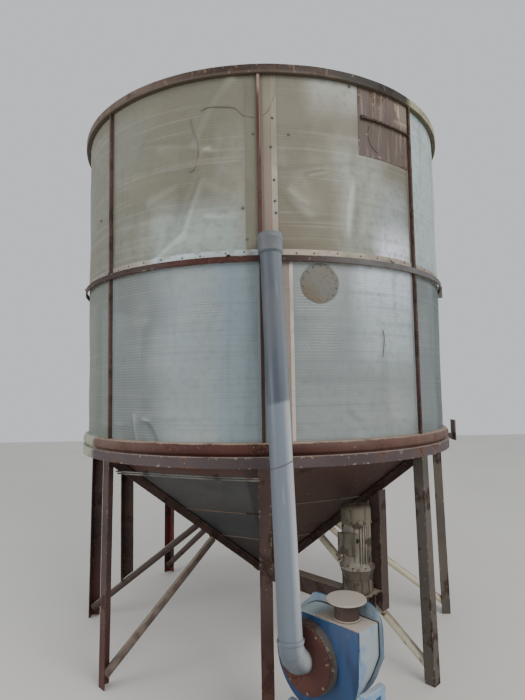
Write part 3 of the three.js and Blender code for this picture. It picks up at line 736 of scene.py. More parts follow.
ZINCS = (
    # Name, three tones, roughness, rust, last coats
    ("brown_lap", ("8c8178", "968b82", "7a6e64"), 0.65),
    ("joint_zinc", ("aa9f91", "9c9386", "847b6e"), 0.55, 0.02, joint_touch),
    ("light_zinc", ("9a9084", "8f867b", "7e7368"), 0.6, 0.0, strip_touch),
    ("seam_zinc", ("706c5e", "7a7668", "666156"), 0.65),
    ("lower_seam_zinc", ("868e8e", "909795", "7a8080"), 0.65),
    ("pink_strip", ("86766b", "8f7f74", "78685d"), 0.65, 0.0, strip_touch),
    ("pale_pink_strip", ("c2b6ac", "b4a89e", "9c8c82"), 0.6),
    ("cover_zinc", ("65645e", "737169", "564f46"), 0.6, 0.04, cover_touch),
    ("rod_zinc", ("6a6864", "84827c", "4e4842"), 0.4, 0.06),
    ("screw_steel", ("544f4a", "6c655d", "423832"), 0.45, 0.05),
    ("bright_bolt", ("7e6c60", "6c5a50", "5a463c"), 0.5, 0.05),
    ("wire", ("605c52", "6c685c", "4e4840")),
    ("hopper_zinc", ("48484a", "585757", "666461"), 0.6, 0.0, panel_touch),
)
for row in STEELS:
    worn_steel(*row)
for row in ZINCS:
    plain_zinc(*row)

perforated_sheet(
    "upper_perforated_sheet", ("797463", "86816f", "6a665a"), 0.82, 0.22, 0.03,
    (
        # The first two tints make stretches darker; the pale, blue-white ones are painted light: sky seen
        # through the perforated sheets and reflected on them.
        (-135, -0.5, 0.5, 2.2, 3.5, 0.6, "726d5a"),
        (0.5, 45, 0.5, 2.2, 3.5, 0.55, "6a6252"),
        (13, 28, 4, 3.2, 3.5, 0.8, "acb0a8"),
        (-110, -36, 12, 2.2, 3.3, 0.4, "92988e"),
        (-30, -3, 6, 2.2, 2.62, 0.8, "a4b2ae"),
        (45.5, 90, 1, 2.2, 3.5, 0.9, "bacece"),
        (20, 33, 4, 2.3, 2.98, 0.5, "acb8b0"),
        (31, 44, 4, 2.2, 2.8, 0.65, "b0bcbe"),
        (31, 44.5, 3, 2.2, 2.52, 0.95, "eceefa"),
    ),
)
perforated_sheet(
    "lower_perforated_sheet", ("929c9e", "a0a8a6", "828a8c"), 0.58, 0.12, 0.16,
    (
        # The pale and blue-white tints are painted light: sky seen through the perforated sheets and
        # reflected on them; the others make stretches darker.
        (-90, -45.5, 1, 1.2, 2.5, 0.8, "767e70"),
        (-44.5, -26, 5, 1.2, 2.5, 0.75, "6e7777"),
        (-25, -10, 5, 1.2, 2.5, 0.6, "a2b0b4"),
        (-11, -0.5, 3, 1.2, 2.5, 0.6, "96aebe"),
        (25, 44, 4, 1.8, 2.5, 0.8, "c8d4da"),
        (24, 44.5, 3, 2.1, 2.5, 0.75, "e8f0fa"),
        (20, 56, 4, 1.2, 1.58, 0.35, "bac0be"),
        (46, 57, 2, 1.2, 1.72, 0.5, "aab0ae"),
        (-22, -10, 4, 1.2, 1.48, 0.4, "c4ccc8"),
        (45.5, 56, 3, 1.2, 2.5, 0.8, "748080"),
        (58, 90, 3, 1.2, 2.5, 0.9, "546268"),
    ),
    (
        ((-21, 1.99), (-9, 2.28)),
        ((-5, 1.93), (-3.4, 2.28)),
        ((8, 2.04), (18.8, 2.26)),
        ((8.3, 1.73), (19, 1.99)),
    ),
)
perforated_sheet("core_sheet", ("686c68", "7a7c76", "5a5e5c"), 1.0, 0.25, 0.2)


def pipe_plastic():
    """Grey drain pipe, darker above a slanted line, with scuffs, settled dust, painted shade on its left side
    and a painted highlight on its right side.
    """
    f = Finish("pipe_plastic", 0.42)
    tone_z = 1.583 - 0.2 * (AXIS.x + 0.063)
    upper = (f.part(2) - f.part(0) * 0.2).step(tone_z - 0.012, tone_z + 0.012)
    f.shade = f.mix(upper, "6b737e", "424b57")
    f.coat(f.part(2).step(PIPE_TOP_Z - 0.1, PIPE_TOP_Z - 0.09, 0.0, 0.7), "686a6a")
    clouds = f.noise(5, 5, (1, 1, 0.4))
    f.coat(clouds.step(0.46, 0.7, 0.0, 0.5), f.mix(upper, "86837e", "626262"))
    f.coat(f.uneven_height(9, 4, 0.15).step(0.5, 0.66, 0.62, 0.0), "50545a")
    runs = f.noise(38, 4, (1, 1, 0.04))
    f.coat(runs.step(0.58, 0.74, 0.0, 0.3), "9ea2a4")
    # Painted shade on the left side and a painted highlight on the right side.
    f.coat(f.facing(0).step(-0.95, 0.1, 0.35, 0.0), "4e5054")
    f.coat(f.facing(0).step(0.25, 0.95, 0.0, 0.75), f.mix(upper, "bec2c4", "808890"))
    f.coat(f.noise(26, 7, (1, 1, 0.5)).step(0.7, 0.75, 0.0, 0.4), "4c5054")
    f.close(clouds.step(0.3, 0.7, 0.34, 0.55), clouds + runs * 0.3, 0.15)


BLOWER_TURN = -46.7
BLOWER_X = around(BLOWER_TURN)
BLOWER_Y = -outward(BLOWER_TURN)
BLOWER_CENTRE = Vector((AXIS.x + 0.1639, AXIS.y - 1.5125, 0.4378))


def blue_paint(name, front, side, side_share, top):
    """Brushed blue paint, dusty on top, with a side tone on the faces turned to the right: pale on the
    casing, partly rubbed paint and partly a painted highlight; a painted highlight on the stand; painted
    shade on the rear flange.
    """
    f = Finish(name, 0.5)
    strokes = f.noise(30, 5, (1, 1, 0.25))
    f.shade = f.mix(strokes.step(0.35, 0.65), *front)
    # Faces turned to the right take the side tone: on the casing partly rubbed paint and partly a painted
    # highlight, on the stand a painted highlight, on the rear flange painted shade.
    patchy = f.facing(0) * BLOWER_X.x + f.facing(1) * BLOWER_X.y + f.noise(9, 6) * 0.5
    painted_side_light_and_shade = patchy.step(0.85, 1.0, 0.0, side_share)
    f.coat(painted_side_light_and_shade, side)
    f.coat(f.noise(13, 6).step(0.52, 0.6, 0.0, 0.7) * painted_side_light_and_shade, "5c88b2")
    chips = f.noise(34, 6) + f.wear() * 0.07
    f.coat(chips.step(0.74, 0.8, 0.0, 0.5), "544a44")
    settled = f.facing(2).step(0.35, 0.9) * f.noise(9, 4)
    f.coat(settled.step(0.12, 0.35), top)
    f.close(strokes.step(0.3, 0.7, 0.38, 0.6), strokes + chips * 0.6, 0.3)


def mottled(name, roughness, scale, detail, first, second):
    """A plain finish of two tones, without a bump."""
    f = Finish(name, roughness)
    put(f.shader["Base Color"], f.mix(f.noise(scale, detail), first, second))


pipe_plastic()
# Side tones: pale on the casing, partly rubbed paint and partly a painted highlight; pale on the stand as a
# painted highlight; dark on the rear flange as painted shade.
blue_paint("blower_blue", ("102e54", "1b4068"), "9ea8ac", 0.9, "929ca0")
blue_paint("rim_blue", ("7c90a0", "929ea6"), "223e5c", 0.8, "30567c")
blue_paint("stand_blue", ("5480ac", "789cbe"), "96aaba", 0.5, "9ca8b0")
mottled("black_rubber", 0.75, 40, 3, "222121", "3a3632")
mottled("pale_floor", 0.9, 0.7, 2, "d4d0ca", "dcd9d3")


# Wall sheets, with their dents

CREASES = (
    # How far a ridge stands out and how wide it is, then its points on the wall as angle and height
    (0.007, 0.035, -6.6, 3.33, -11.5, 3.19, -15.7, 3.01),
    (-0.01, 0.045, -16.3, 2.83, -21.9, 2.52, -30.4, 2.41),
    (0.007, 0.03, -14.0, 2.8, -19.0, 2.5, -27.0, 2.38),
    (0.006, 0.022, -31.5, 3.04, -21.0, 3.0, -10.8, 2.94),
    (-0.006, 0.022, -31.5, 2.91, -24.0, 2.88, -17.1, 2.84),
    (0.005, 0.026, -12.2, 2.754, -9.0, 2.714, -6.0, 2.675),
    (-0.004, 0.024, -15.0, 2.815, -10.4, 2.842, -5.0, 2.844),
    (0.003, 0.018, -6.9, 2.844, -4.8, 2.793, -4.6, 2.702, -4.9, 2.65, -7.0, 2.589),
    (0.004, 0.022, -16.0, 2.85, -14.2, 2.93, -11.5, 2.977),
    (0.003, 0.016, -12.0, 2.933, -10.3, 2.93),
    (-0.004, 0.02, -18.6, 2.806, -23.2, 2.824, -29.1, 2.83),
    (0.005, 0.03, -19.4, 2.774, -23.9, 2.753, -29.9, 2.71),
    (0.004, 0.02, -26.4, 2.99, -20.6, 2.945),
    (0.004, 0.016, -24.2, 2.5, -26.0, 2.48, -27.8, 2.431),
    (0.006, 0.02, -13.3, 2.58, -9.0, 2.565, -6.1, 2.56),
    (0.005, 0.03, -20.0, 2.47, -15.0, 2.45, -12.0, 2.48),
    (-0.005, 0.02, 4.5, 2.81, 13.0, 2.83, 21.7, 2.86, 31.1, 2.93),
    (0.005, 0.016, 12.1, 2.795, 15.0, 2.81, 17.6, 2.835),
    (0.005, 0.028, 6.0, 2.7, 9.0, 2.62, 12.0, 2.57),
    (0.005, 0.016, 7.0, 2.712, 9.3, 2.662, 11.6, 2.632),
    (0.004, 0.035, 19.8, 3.283, 14.9, 3.118, 11.6, 2.939),
    (0.006, 0.03, 24.0, 2.8, 22.5, 2.62, 22.0, 2.47),
    (-0.004, 0.03, 30.0, 2.85, 27.0, 2.68, 25.0, 2.52),
    (0.009, 0.014, -34.6, 1.52, -34.4, 1.45, -33.7, 1.385),
    (-0.012, 0.022, -29.4, 1.455, -28.1, 1.413, -27.2, 1.384),
    (0.011, 0.013, -31.5, 1.5, -29.5, 1.49, -28.0, 1.44, -26.8, 1.385),
    (-0.005, 0.02, 21.0, 1.5, 24.0, 1.45, 26.0, 1.4),
    (-0.003, 0.007, -15.2, 1.7, -15.2, 1.63),
    (-0.003, 0.007, -13.8, 1.6, -13.7, 1.5),
)
CREASE_DEPTH = 1.35
# The dent depth that counts as one in the wear attribute, which on the sheets drives painted shade in hollows
# and painted highlights on ridges
FULL_DENT = 0.012
CREASE_LINES = [
    ([(deg * ARC, z) for deg, z in pairs(route)], height * CREASE_DEPTH, width)
    for height, width, *route in CREASES
]


def distance_to_line(arc, z, line):
    """Distance on the wall from a point to a broken line, both as (arc length, height)."""
    nearest = 9.0
    for (a0, z0), (a1, z1) in zip(line, line[1:]):
        run, rise = a1 - a0, z1 - z0
        share = ((arc - a0) * run + (z - z0) * rise) / (run * run + rise * rise)
        share = min(1.0, max(0.0, share))
        nearest = min(nearest, math.hypot(arc - a0 - share * run, z - z0 - share * rise))
    return nearest


def wall_offset(deg, z):
    """How far the wall stands out of its round shape: broad waves and creases, held at ribs and rings."""
    from_rib = abs((deg + SECTOR / 2) % SECTOR - SECTOR / 2) * ARC
    from_ring = min(z - WALL_BOTTOM, abs(z - MID_Z), WALL_TOP - 0.04 - z)
    held = smooth(from_rib, 0.01, 0.1) * smooth(from_ring, 0.015, 0.09)
    wrapped = (deg + 180) % 360 - 180
    arc = wrapped * ARC
    angle = math.radians(deg)
    spot = Vector((math.sin(angle), math.cos(angle), z)) * 2.6
    offset = (noise.noise(spot) * 0.0065 + noise.noise(spot * 2.7) * 0.0022) * held
    for line, height, width in CREASE_LINES:
        if abs(arc - line[0][0]) < 0.5 and abs(z - line[0][1]) < 0.7:
            near = distance_to_line(arc, z, line) / width
            if near < 3:
                offset += height * math.exp(-near * near) * smooth(from_rib, 0.0, 0.05)
    from_cover = math.hypot(arc - COVER_DEG * ARC, z - COVER_Z)
    offset *= smooth(from_cover, 0.13, 0.21)
    if PATCH_FROM - 2 < wrapped < PATCH_TO + 2:
        offset *= 1 - smooth(z, PATCH_BOTTOM - 0.08, PATCH_BOTTOM - 0.01)
    return offset


def wall_point(deg, z, lift=0.0):
    return polar(WALL_R + wall_offset(deg, z) + lift, deg, z)


def wall_slab(shape, start, end, z0, z1, step, inner, outer, dents=False):
    """A thin sheet on the dented wall, between two lifts off it. Its wear marks its edge or its dents."""
    across = max(1, round((end - start) * ARC / step))
    up = max(1, round((z1 - z0) / step))

    def place(layer, i, j):
        deg = start + (end - start) * i / across
        z = z0 + (z1 - z0) * j / up
        at_edge = i in (0, across) or j in (0, up)
        wear = wall_offset(deg, z) / FULL_DENT if dents else float(at_edge)
        return wall_point(deg, z, inner if layer else outer), wear

    return shape.slab(across, up, place)


def build_wall():
    quarters = (
        ("front_right", 0, 0.014), ("back_right", 90, 0.03),
        ("back_left", 180, 0.03), ("front_left", 270, 0.014),
    )
    for tier, z0, z1 in (("lower", WALL_BOTTOM, MID_Z), ("upper", MID_Z, WALL_TOP)):
        for side, start, step in quarters:
            span = (start + 0.02, start + 89.98, z0 + GAP, z1 - GAP)
            node = f"{tier}_sheet_{side}"
            sheet = wall_slab(Shape(), *span, step, -SHEET_T, 0.0, dents=True)
            sheet.piece(f"{node}_dented", f"{tier}_perforated_sheet", "galvanised", node, sharp=60)


def upper_slab(shape, start, end, step, inner, outer):
    """A strip from the joint strip up to the rim."""
    return wall_slab(shape, start, end, JOINT_STRIP_TOP, RIM_BOTTOM - 0.001, step, inner, outer)


def lower_slab(shape, start, end, step, inner, outer):
    """A strip from the wall's foot up to the joint strip."""
    return wall_slab(shape, start, end, WALL_BOTTOM + 0.001, JOINT_STRIP_BOTTOM, step, inner, outer)


def build_wall_strips():
    """Laps and flat strips that join the sheets, all lying on the dented wall."""
    joint = Shape()
    upper = Shape()
    lower = Shape()
    tiers = ((upper_slab, upper), (lower_slab, lower))
    for i in range(SIDES):
        start = i * SECTOR
        end = start + SECTOR
        wall_slab(joint, start + 0.5, end - 0.5, JOINT_STRIP_BOTTOM, JOINT_STRIP_TOP, 0.02, ON_WALL, 0.0024)
        for side in (start + 0.42, end - 1.05):
            for slab, shape in tiers:
                slab(shape, side, side + LAP_DEG, 0.03, ON_WALL, 0.0014)
    upper_slab(upper, -3.4, -1.06, 0.02, ON_WALL, 0.0018)
    for deg in (90, 180, 270):
        for slab, shape in tiers:
            slab(shape, deg - 3.4, deg - 1.06, 0.03, ON_WALL, 0.0018)
    joint.piece("wall_joint_strips", "joint_zinc", "galvanised", sharp=50)
    upper.piece("upper_sheet_laps", "seam_zinc", "galvanised", sharp=50)
    lower.piece("lower_sheet_laps", "lower_seam_zinc", "galvanised", sharp=50)
    strips = (
        ("primed_strip", upper_slab, 1.06, 4.3, ON_WALL, 0.0016, "pink_strip", "galvanised"),
        ("pale_strip", upper_slab, 2.9, 4.3, 0.0016, 0.0032, "light_zinc", "galvanised"),
        ("brown_strip", lower_slab, 4.4, 6.6, ON_WALL, 0.002, "brown_lap", "rusty_brown"),
        ("light_strip", lower_slab, 6.65, 7.5, ON_WALL, 0.0024, "pale_pink_strip", "galvanised"),
    )
    for name, slab, start, end, inner, outer, material, slot in strips:
        slab(Shape(), start, end, 0.02, inner, outer).piece(name, material, slot, sharp=50)


# Spots and lines on the wall, as angle and height
SCREW_SPOTS = (
    -1.4, 3.017, -3.2, 2.443, -52.0, 2.722, -4.1, 2.612, 3.6, 2.646, 3.8, 2.581, 7.3, 3.017,
    23.6, 3.332, 3.3, 3.104, 2.9, 2.943, 3.5, 2.761,
)
WIRES = (
    # How far a wire's middle lies off the wall and its radius, then its points
    (0.0022, 0.0017, -14.3, 3.174, -12.0, 3.183, -6.2, 3.171, -3.8, 3.125, -1.2, 3.108),
    (0.0022, 0.0017, 1.2, 3.118, 2.0, 3.138, 3.2, 3.183, 4.0, 3.262, 3.6, 3.34),
    (
        0.0022, 0.0017, -17.2, 3.136, -16.6, 3.074, -15.6, 3.025, -15.1, 2.984, -15.2, 2.917, -16.3, 2.858,
        -17.8, 2.846,
    ),
    (0.0022, 0.0017, 31.9, 1.968, 32.2, 1.925, 32.0, 1.884, 31.5, 1.817),
    (0.0082, 0.002, 29.5, 3.133, 29.0, 3.09, 29.2, 3.049, 30.2, 3.01, 31.8, 2.985),
)


def build_wall_fasteners():
    screws = Shape()
    dice = random.Random(12)
    for deg, z in pairs(SCREW_SPOTS):
        screws.screw(wall_point(deg, z, 0.003), outward(deg), 0.0055)
    for i in range(SIDES):
        for j in range(8):
            deg = i * SECTOR + 2.6 + j * 5.6 + dice.uniform(-1.0, 1.0)
            z = MID_Z + 0.036 + dice.uniform(-0.006, 0.006)
            screws.screw(wall_point(deg, z, 0.0024), outward(deg), 0.0038)
    screws.piece("wall_screws", "screw_steel", "bare_rust")
    wires = Shape()
    for lift, radius, *route in WIRES:
        wires.tube(curve_through([wall_point(deg, z, lift) for deg, z in pairs(route)]), radius, 6)
    wires.piece("wall_wires", "wire", "rusty_brown")


def build_patch():
    sheet = Shape()
    top = RIM_BOTTOM - GAP
    wall_slab(sheet, PATCH_FROM, PATCH_TO, PATCH_BOTTOM, PATCH_BAR_Z, 0.02, 0.0006, 0.0032)
    wall_slab(sheet, PATCH_FROM, 31.6, PATCH_BAR_Z, top, 0.02, 0.0006, 0.0034)
    wall_slab(sheet, 31.2, PATCH_TO, PATCH_BAR_Z, top, 0.02, 0.0036, 0.006)
    sheet.piece("patch_sheets", "patch_steel", "worn_primer", "patch_panel", sharp=50)
    section = profile(3.4, 0, 22.4, 0, 22.4, 4, 7.5, 4, 7.5, 22, 3.4, 22, foot=PATCH_BAR_Z)
    section = softened([(WALL_R + lift, z) for lift, z in section], 0.001)
    bar = Shape().ring(section, PATCH_FROM + 0.6, PATCH_TO, 1.2).roughen(0.001, 20)
    knob = polar(WALL_R + 0.012, PATCH_FROM + 1.2, PATCH_BAR_Z + 0.012)
    bar.weld(knob - around(PATCH_FROM) * 0.012, knob + around(PATCH_FROM) * 0.02, 0.0095, 5)
    bar.piece("patch_bar", "dark_bar", "rusty_brown", "patch_panel")
    pale = wall_slab(Shape(), 41.2, 44.3, 3.235, top - 0.004, 0.02, 0.006, 0.0078)
    pale.piece("patch_pale_plate", "pink_strip", "worn_primer", sharp=50)


def build_cover():
    """The round plate over an old inlet, bent to the wall, with its ring of small screws."""
    shares = (0.25, 0.5, 0.75, 0.95, 1.0)
    count = 48
    points = []
    wear = []
    for lift, bulge in ((0.0034, 0.003), (0.0008, 0.0)):
        for share in shares:
            for i in range(count):
                a = 2 * math.pi * i / count
                radius = COVER_R * share * (1 + 0.012 * math.sin(7 * a) * (share > 0.9))
                deg = COVER_DEG + radius * math.cos(a) / ARC
                z = COVER_Z + radius * math.sin(a)
                points.append(wall_point(deg, z, lift + bulge * (1 - share * share)))
                wear.append(float(share == 1.0))
    layer = len(shares) * count
    faces = []
    for base in (0, layer):
        faces.append([base + i for i in range(count)])
        for a in range(base, base + layer - count, count):
            for i in range(count):
                k = (i + 1) % count
                faces.append([a + i, a + k, a + count + k, a + count + i])
    last = layer - count
    for i in range(count):
        k = (i + 1) % count
        faces.append([last + i, last + k, last + layer + k, last + layer + i])
    Shape().add(points, faces, wear).piece("cover_plate", "cover_zinc", "galvanised", "round_cover", sharp=50)
    heads = Shape()
    for i in range(COVER_SCREWS):
        a = 2 * math.pi * i / COVER_SCREWS + 0.2
        deg = COVER_DEG + COVER_SCREW_R * math.cos(a) / ARC
        z = COVER_Z + COVER_SCREW_R * math.sin(a)
        heads.screw(wall_point(deg, z, 0.0036), outward(deg), 0.0042)
    heads.piece("cover_screws", "screw_steel", "bare_rust")


# Ribs, rings and the base

# Lumps of weld on the middle ring, as angle and height above it
RING_BLOBS = (34.5, 0.02, 32.6, -0.014, -8.0, 0.018, 118.0, 0.019, 205.0, 0.019, 290.0, 0.02)
PLATE_ARM_Z = 1.282


def build_ribs_and_rings():
    ribs = Shape()
    section = rectangle(-RIB_WIDTH / 2, RIB_WIDTH / 2, 0, RIB_DEPTH)
    for deg in range(0, 360, SECTOR):
        foot = polar(WALL_R + 0.0004, deg, WALL_BOTTOM)
        ribs.bar(foot, polar(WALL_R + 0.0004, deg, RIM_BOTTOM - GAP), section, around(deg), outward(deg))
    ribs.roughen(0.0006).piece("wall_ribs", "rib_steel", "rusty_brown", "wall_frame")

    half = MID_HEIGHT / 2
    section = softened(rectangle(WALL_R + RIB_DEPTH - 0.002, MID_R, MID_Z - half, MID_Z + half))
    middle = Shape().ring(section).roughen(0.0008)
    lug = rectangle(-0.005, 0.005, -0.045, 0.045)
    lug_z = MID_Z + 0.041
    middle.bar(polar(MID_R - 0.004, 90, lug_z), polar(MID_R + 0.0775, 90, lug_z), lug, around(90))
    for i in range(SIDES):
        for side in (-0.42, 0.42):
            spot = polar(MID_R - 0.008, i * SECTOR + side, MID_Z + half)
            middle.weld(spot, spot + UP * 0.014, 0.0035, i)
    for deg, z in pairs(RING_BLOBS):
        blob = polar(MID_R - 0.002, deg, MID_Z + z)
        middle.weld(blob, blob + around(deg) * 0.022, 0.008, int(deg))
    middle.piece("middle_ring", "ring_steel", "rusty_brown", "wall_frame")

    inner = WALL_R + 0.0004
    web = RIM_R - ANGLE_T
    shelf = RIM_BOTTOM + ANGLE_T
    section = [
        (inner, RIM_BOTTOM), (RIM_R, RIM_BOTTOM), (RIM_R, RIM_TOP),
        (web, RIM_TOP), (web, shelf), (inner, shelf),
    ]
    rim = Shape().ring(softened(section, 0.0022), step=2).roughen(0.0014, 7)
    for i in range(SIDES):
        spot = polar(WALL_R + RIB_DEPTH, i * SECTOR - 0.45, RIM_BOTTOM - 0.001)
        rim.weld(spot, spot + around(i * SECTOR) * 0.02, 0.004, i)
    rim.piece("rim_angle", "rim_steel", "bare_rust", "top_rim")


def build_base():
    top = LIP_BOTTOM - GAP
    inner = BASE_R - 0.06
    web = BASE_R - ANGLE_T
    shelf = top - ANGLE_T
    section = [
        (inner, shelf), (web, shelf), (web, BASE_BOTTOM), (BASE_R, BASE_BOTTOM), (BASE_R, top), (inner, top)
    ]
    base = Shape().ring(softened(section, 0.002), step=2).roughen(0.0009, 6)
    arm = rectangle(-0.02, 0.02, -0.02, 0.02)
    base.bar(polar(BASE_R - 0.004, 90, PLATE_ARM_Z), polar(BASE_R + 0.1, 90, PLATE_ARM_Z), arm, around(90))
    plate = rectangle(-0.045, 0.045, -0.075, 0.075)
    face = PLATE_ARM_Z + 0.043
    base.bar(polar(BASE_R + 0.105, 90, face), polar(BASE_R + 0.113, 90, face), plate, around(90))
    for i in range(SIDES):
        for side in (-1, 1):
            spot = polar(LEG_TOP_R - 0.002, i * SECTOR + side * 1.3, BASE_BOTTOM - 0.001)
            base.weld(spot, spot - outward(i * SECTOR) * 0.006, 0.004, i + side)
    base.piece("base_ring_angle", "base_steel", "rusty_brown", "base_ring")

    curve = profile(
        1284.5, 1316.5, 1290, 1319, 1296, 1322.5, 1300, 1328, 1302.8, 1335, 1303.8, 1343, 1303.8, 1351,
        1302, 1359, 1299, 1366, 1294.5, 1372, 1289.5, 1376.5, 1285, 1378.5,
    )
    top = WALL_BOTTOM - GAP
    curve = [(1.256, LIP_BOTTOM), (1.282, LIP_BOTTOM)] + curve + [(1.28, top), (1.256, top)]
    lip = Shape().ring([(r, z, float(z > 1.376)) for r, z in curve], step=1)
    for i, point in enumerate(lip.points):
        away = Vector((point.x - AXIS.x, point.y - AXIS.y, 0)).normalized()
        ragged = noise.noise(point * 22) * 0.0022 * smooth(point.z, 1.372, 1.378)
        lumpy = noise.noise(point * 7) * 0.0016
        lip.points[i] = point + away * min(0.0, ragged + lumpy) + UP * min(0.0, ragged)
    lip.piece("lip_ring_rolled", "lip_steel", "bare_rust", "lip_ring")


# Legs, braces and inner posts


def ridge_z(r):
    """Height of the ridge between two hopper panels."""
    return HOPPER_TOP - (HOPPER_TOP_R - r) * HOPPER_FALL


def rib_bottom_z(r):
    return ridge_z(r) - RIB_DROP - HOPPER_RIB_DEPTH


BRACE_RISE = math.atan2(rib_bottom_z(BRACE_TOP_R) - BRACE_FOOT_Z, BRACE_FOOT_R - BRACE_TOP_R)
BRACE_INSET = BRACE_R * (math.cos(BRACE_RISE) - math.sin(BRACE_RISE) * HOPPER_FALL)
BRACE_TOP_Z = rib_bottom_z(BRACE_TOP_R) - BRACE_INSET
LEG_FINISHES = (
    "pink_primer", "grey_primer", "grey_primer", "brown_steel",
    "brown_steel", "red_paint", "pink_primer", "pink_primer",
)


def build_legs():
    section = angle_section(LEG_SIZE, 0)
    for i, finish in enumerate(LEG_FINISHES):
        deg = i * SECTOR
        leg = Shape()
        leg.bar(polar(LEG_FOOT_R, deg, 0), polar(LEG_TOP_R, deg, LEG_TOP), section, around(deg), outward(deg))
        leg.roughen(0.001, 3.5)
        for point in leg.points:
            point.z = min(max(point.z, 0.0), LEG_TOP)
        leg.piece(f"leg_angle_{i + 1}", finish, "worn_primer", f"leg_{i + 1}")

        foot = polar(BRACE_FOOT_R, deg, BRACE_FOOT_Z)
        top = polar(BRACE_TOP_R, deg, BRACE_TOP_Z)
        brace = Shape().tube([foot.lerp(top, j / 24) for j in range(25)], BRACE_R, 20).roughen(0.001, 5)
        direction = (top - foot).normalized()
        collar = [foot + direction * reach for reach in (0.003, 0.006, 0.012)]
        brace.tube(collar, [BRACE_R + 0.001, BRACE_R + 0.0035, BRACE_R + 0.001], 20)
        saddle = polar(BRACE_TOP_R + 0.03, deg, rib_bottom_z(BRACE_TOP_R + 0.03) - 0.002)
        brace.weld(saddle, polar(BRACE_TOP_R, deg, rib_bottom_z(BRACE_TOP_R) - 0.002), 0.006, i)
        cream = 1 <= i <= 3
        finish, slot = ("cream_paint", "cream_tube") if cream else ("brace_steel", "rusty_brown")
        brace.piece(f"brace_tube_{i + 1}", finish, slot, f"brace_{i + 1}")


def brace_upper_z(r):
    slope = (BRACE_TOP_Z - BRACE_FOOT_Z) / (BRACE_FOOT_R - BRACE_TOP_R)
    return BRACE_FOOT_Z + (BRACE_FOOT_R - r) * slope + BRACE_R / math.cos(math.atan(slope))


def inner_post(side, deg, radius, material, slot):
    """Angle iron between a brace and the hopper rib above it, cut to their slopes."""
    reach = radius + POST_SIZE / 2
    foot = polar(radius, deg, brace_upper_z(reach) - 0.01)
    top = polar(radius, deg, rib_bottom_z(reach) + 0.01)
    section = angle_section(POST_SIZE, POST_SIZE / 2)
    shape = Shape().bar(foot, top, section, around(deg), outward(deg), spacing=0.08).roughen(0.0008, 4)
    for point in shape.points:
        reach = (point - polar(0, deg, 0)).dot(outward(deg))
        point.z = min(max(point.z, brace_upper_z(reach) + GAP), rib_bottom_z(reach) - GAP)
    shape.piece(f"post_angle_{side}", material, slot, f"inner_post_{side}")


# Hopper, rods and core

PANEL_TOP_APOTHEM = HOPPER_TOP_R * math.cos(math.radians(SECTOR / 2))
OUTLET_APOTHEM = OUTLET_R * math.cos(math.radians(SECTOR / 2))
PANEL_SLOPE = math.atan(HOPPER_FALL / math.cos(math.radians(SECTOR / 2)))
PANEL_HALF_SHARE = math.tan(math.radians(SECTOR / 2))


def panel_z(apothem):
    return HOPPER_TOP - (PANEL_TOP_APOTHEM - apothem) * math.tan(PANEL_SLOPE)


def panel_point(middle_deg, apothem, share, drop):
    """A point on a hopper panel: share runs from -1 to 1 across it, and drop is square to its face."""
    down = (outward(middle_deg) * math.sin(PANEL_SLOPE) - UP * math.cos(PANEL_SLOPE)) * drop
    side = around(middle_deg) * (apothem * PANEL_HALF_SHARE * share)
    return polar(apothem, middle_deg, panel_z(apothem)) + side + down


def panel_slab(shape, middle_deg, a0, a1, across, along, top, bottom, reach=0.998):
    """A plate along a hopper panel, which sags a little, between two drops from its face."""

    def place(layer, i, j):
        share = (2 * i / across - 1) * reach
        apothem = a0 + (a1 - a0) * j / along
        held = (1 - share**4) * smooth(apothem, 0.12, 0.35) * smooth(PANEL_TOP_APOTHEM - apothem, 0.0, 0.12)
        spot = panel_point(middle_deg, apothem, share, 0)
        sag = (0.5 + noise.noise(spot * 3.1)) * 0.003 * held
        return panel_point(middle_deg, apothem, share, (bottom if layer else top) + sag), 0.0

    return shape.slab(across, along, place)


def build_hopper():
    laps = Shape()
    for i in range(SIDES):
        middle_deg = (i + 0.5) * SECTOR
        zinc = i == SIDES - 1
        finish, slot = ("hopper_zinc", "galvanised") if zinc else ("hopper_brown", "rusty_brown")
        panel = panel_slab(Shape(), middle_deg, OUTLET_APOTHEM, PANEL_TOP_APOTHEM, 24, 44, 0.0002, PANEL_T)
        panel.piece(f"hopper_plate_{i + 1}", finish, slot, f"hopper_panel_{i + 1}")
        for apothem in (0.415, 0.7 if zinc else 0.785):
            ends = (apothem - 0.004, apothem + 0.006)
            panel_slab(laps, middle_deg, *ends, 16, 1, PANEL_T, PANEL_T + 0.0035, 0.93)
    laps.piece("hopper_laps", "lap_steel", "rusty_brown")

    ribs = Shape()
    inner = OUTLET_R + 0.003
    outer = HOPPER_TOP_R + 0.008
    section = [(u / 1000, v / 1000) for u, v in pairs(
        (-25.2, 0, 24, 0, 24, -6, 3, -6, 3, -55, -3, -55, -3, -6, -25.2, -6)
    )]
    for deg in range(0, 360, SECTOR):
        start = polar(inner, deg, ridge_z(inner) - RIB_DROP)
        ribs.bar(start, polar(outer, deg, ridge_z(outer) - RIB_DROP), section, around(deg))
    collar_top = ridge_z(OUTLET_R) - 0.005
    collar = rectangle(OUTLET_R - 0.001, OUTLET_R + 0.007, collar_top - 0.062, collar_top)
    ribs.ring(softened(collar), step=SECTOR).roughen(0.0006, 6)
    for i in range(SIDES):
        spot = polar(OUTLET_R + 0.008, i * SECTOR, collar_top - 0.055)
        ribs.weld(spot, spot + UP * 0.05, 0.004, i)
    ribs.piece("hopper_ribs", "brown_steel", "rusty_brown", "hopper_frame")


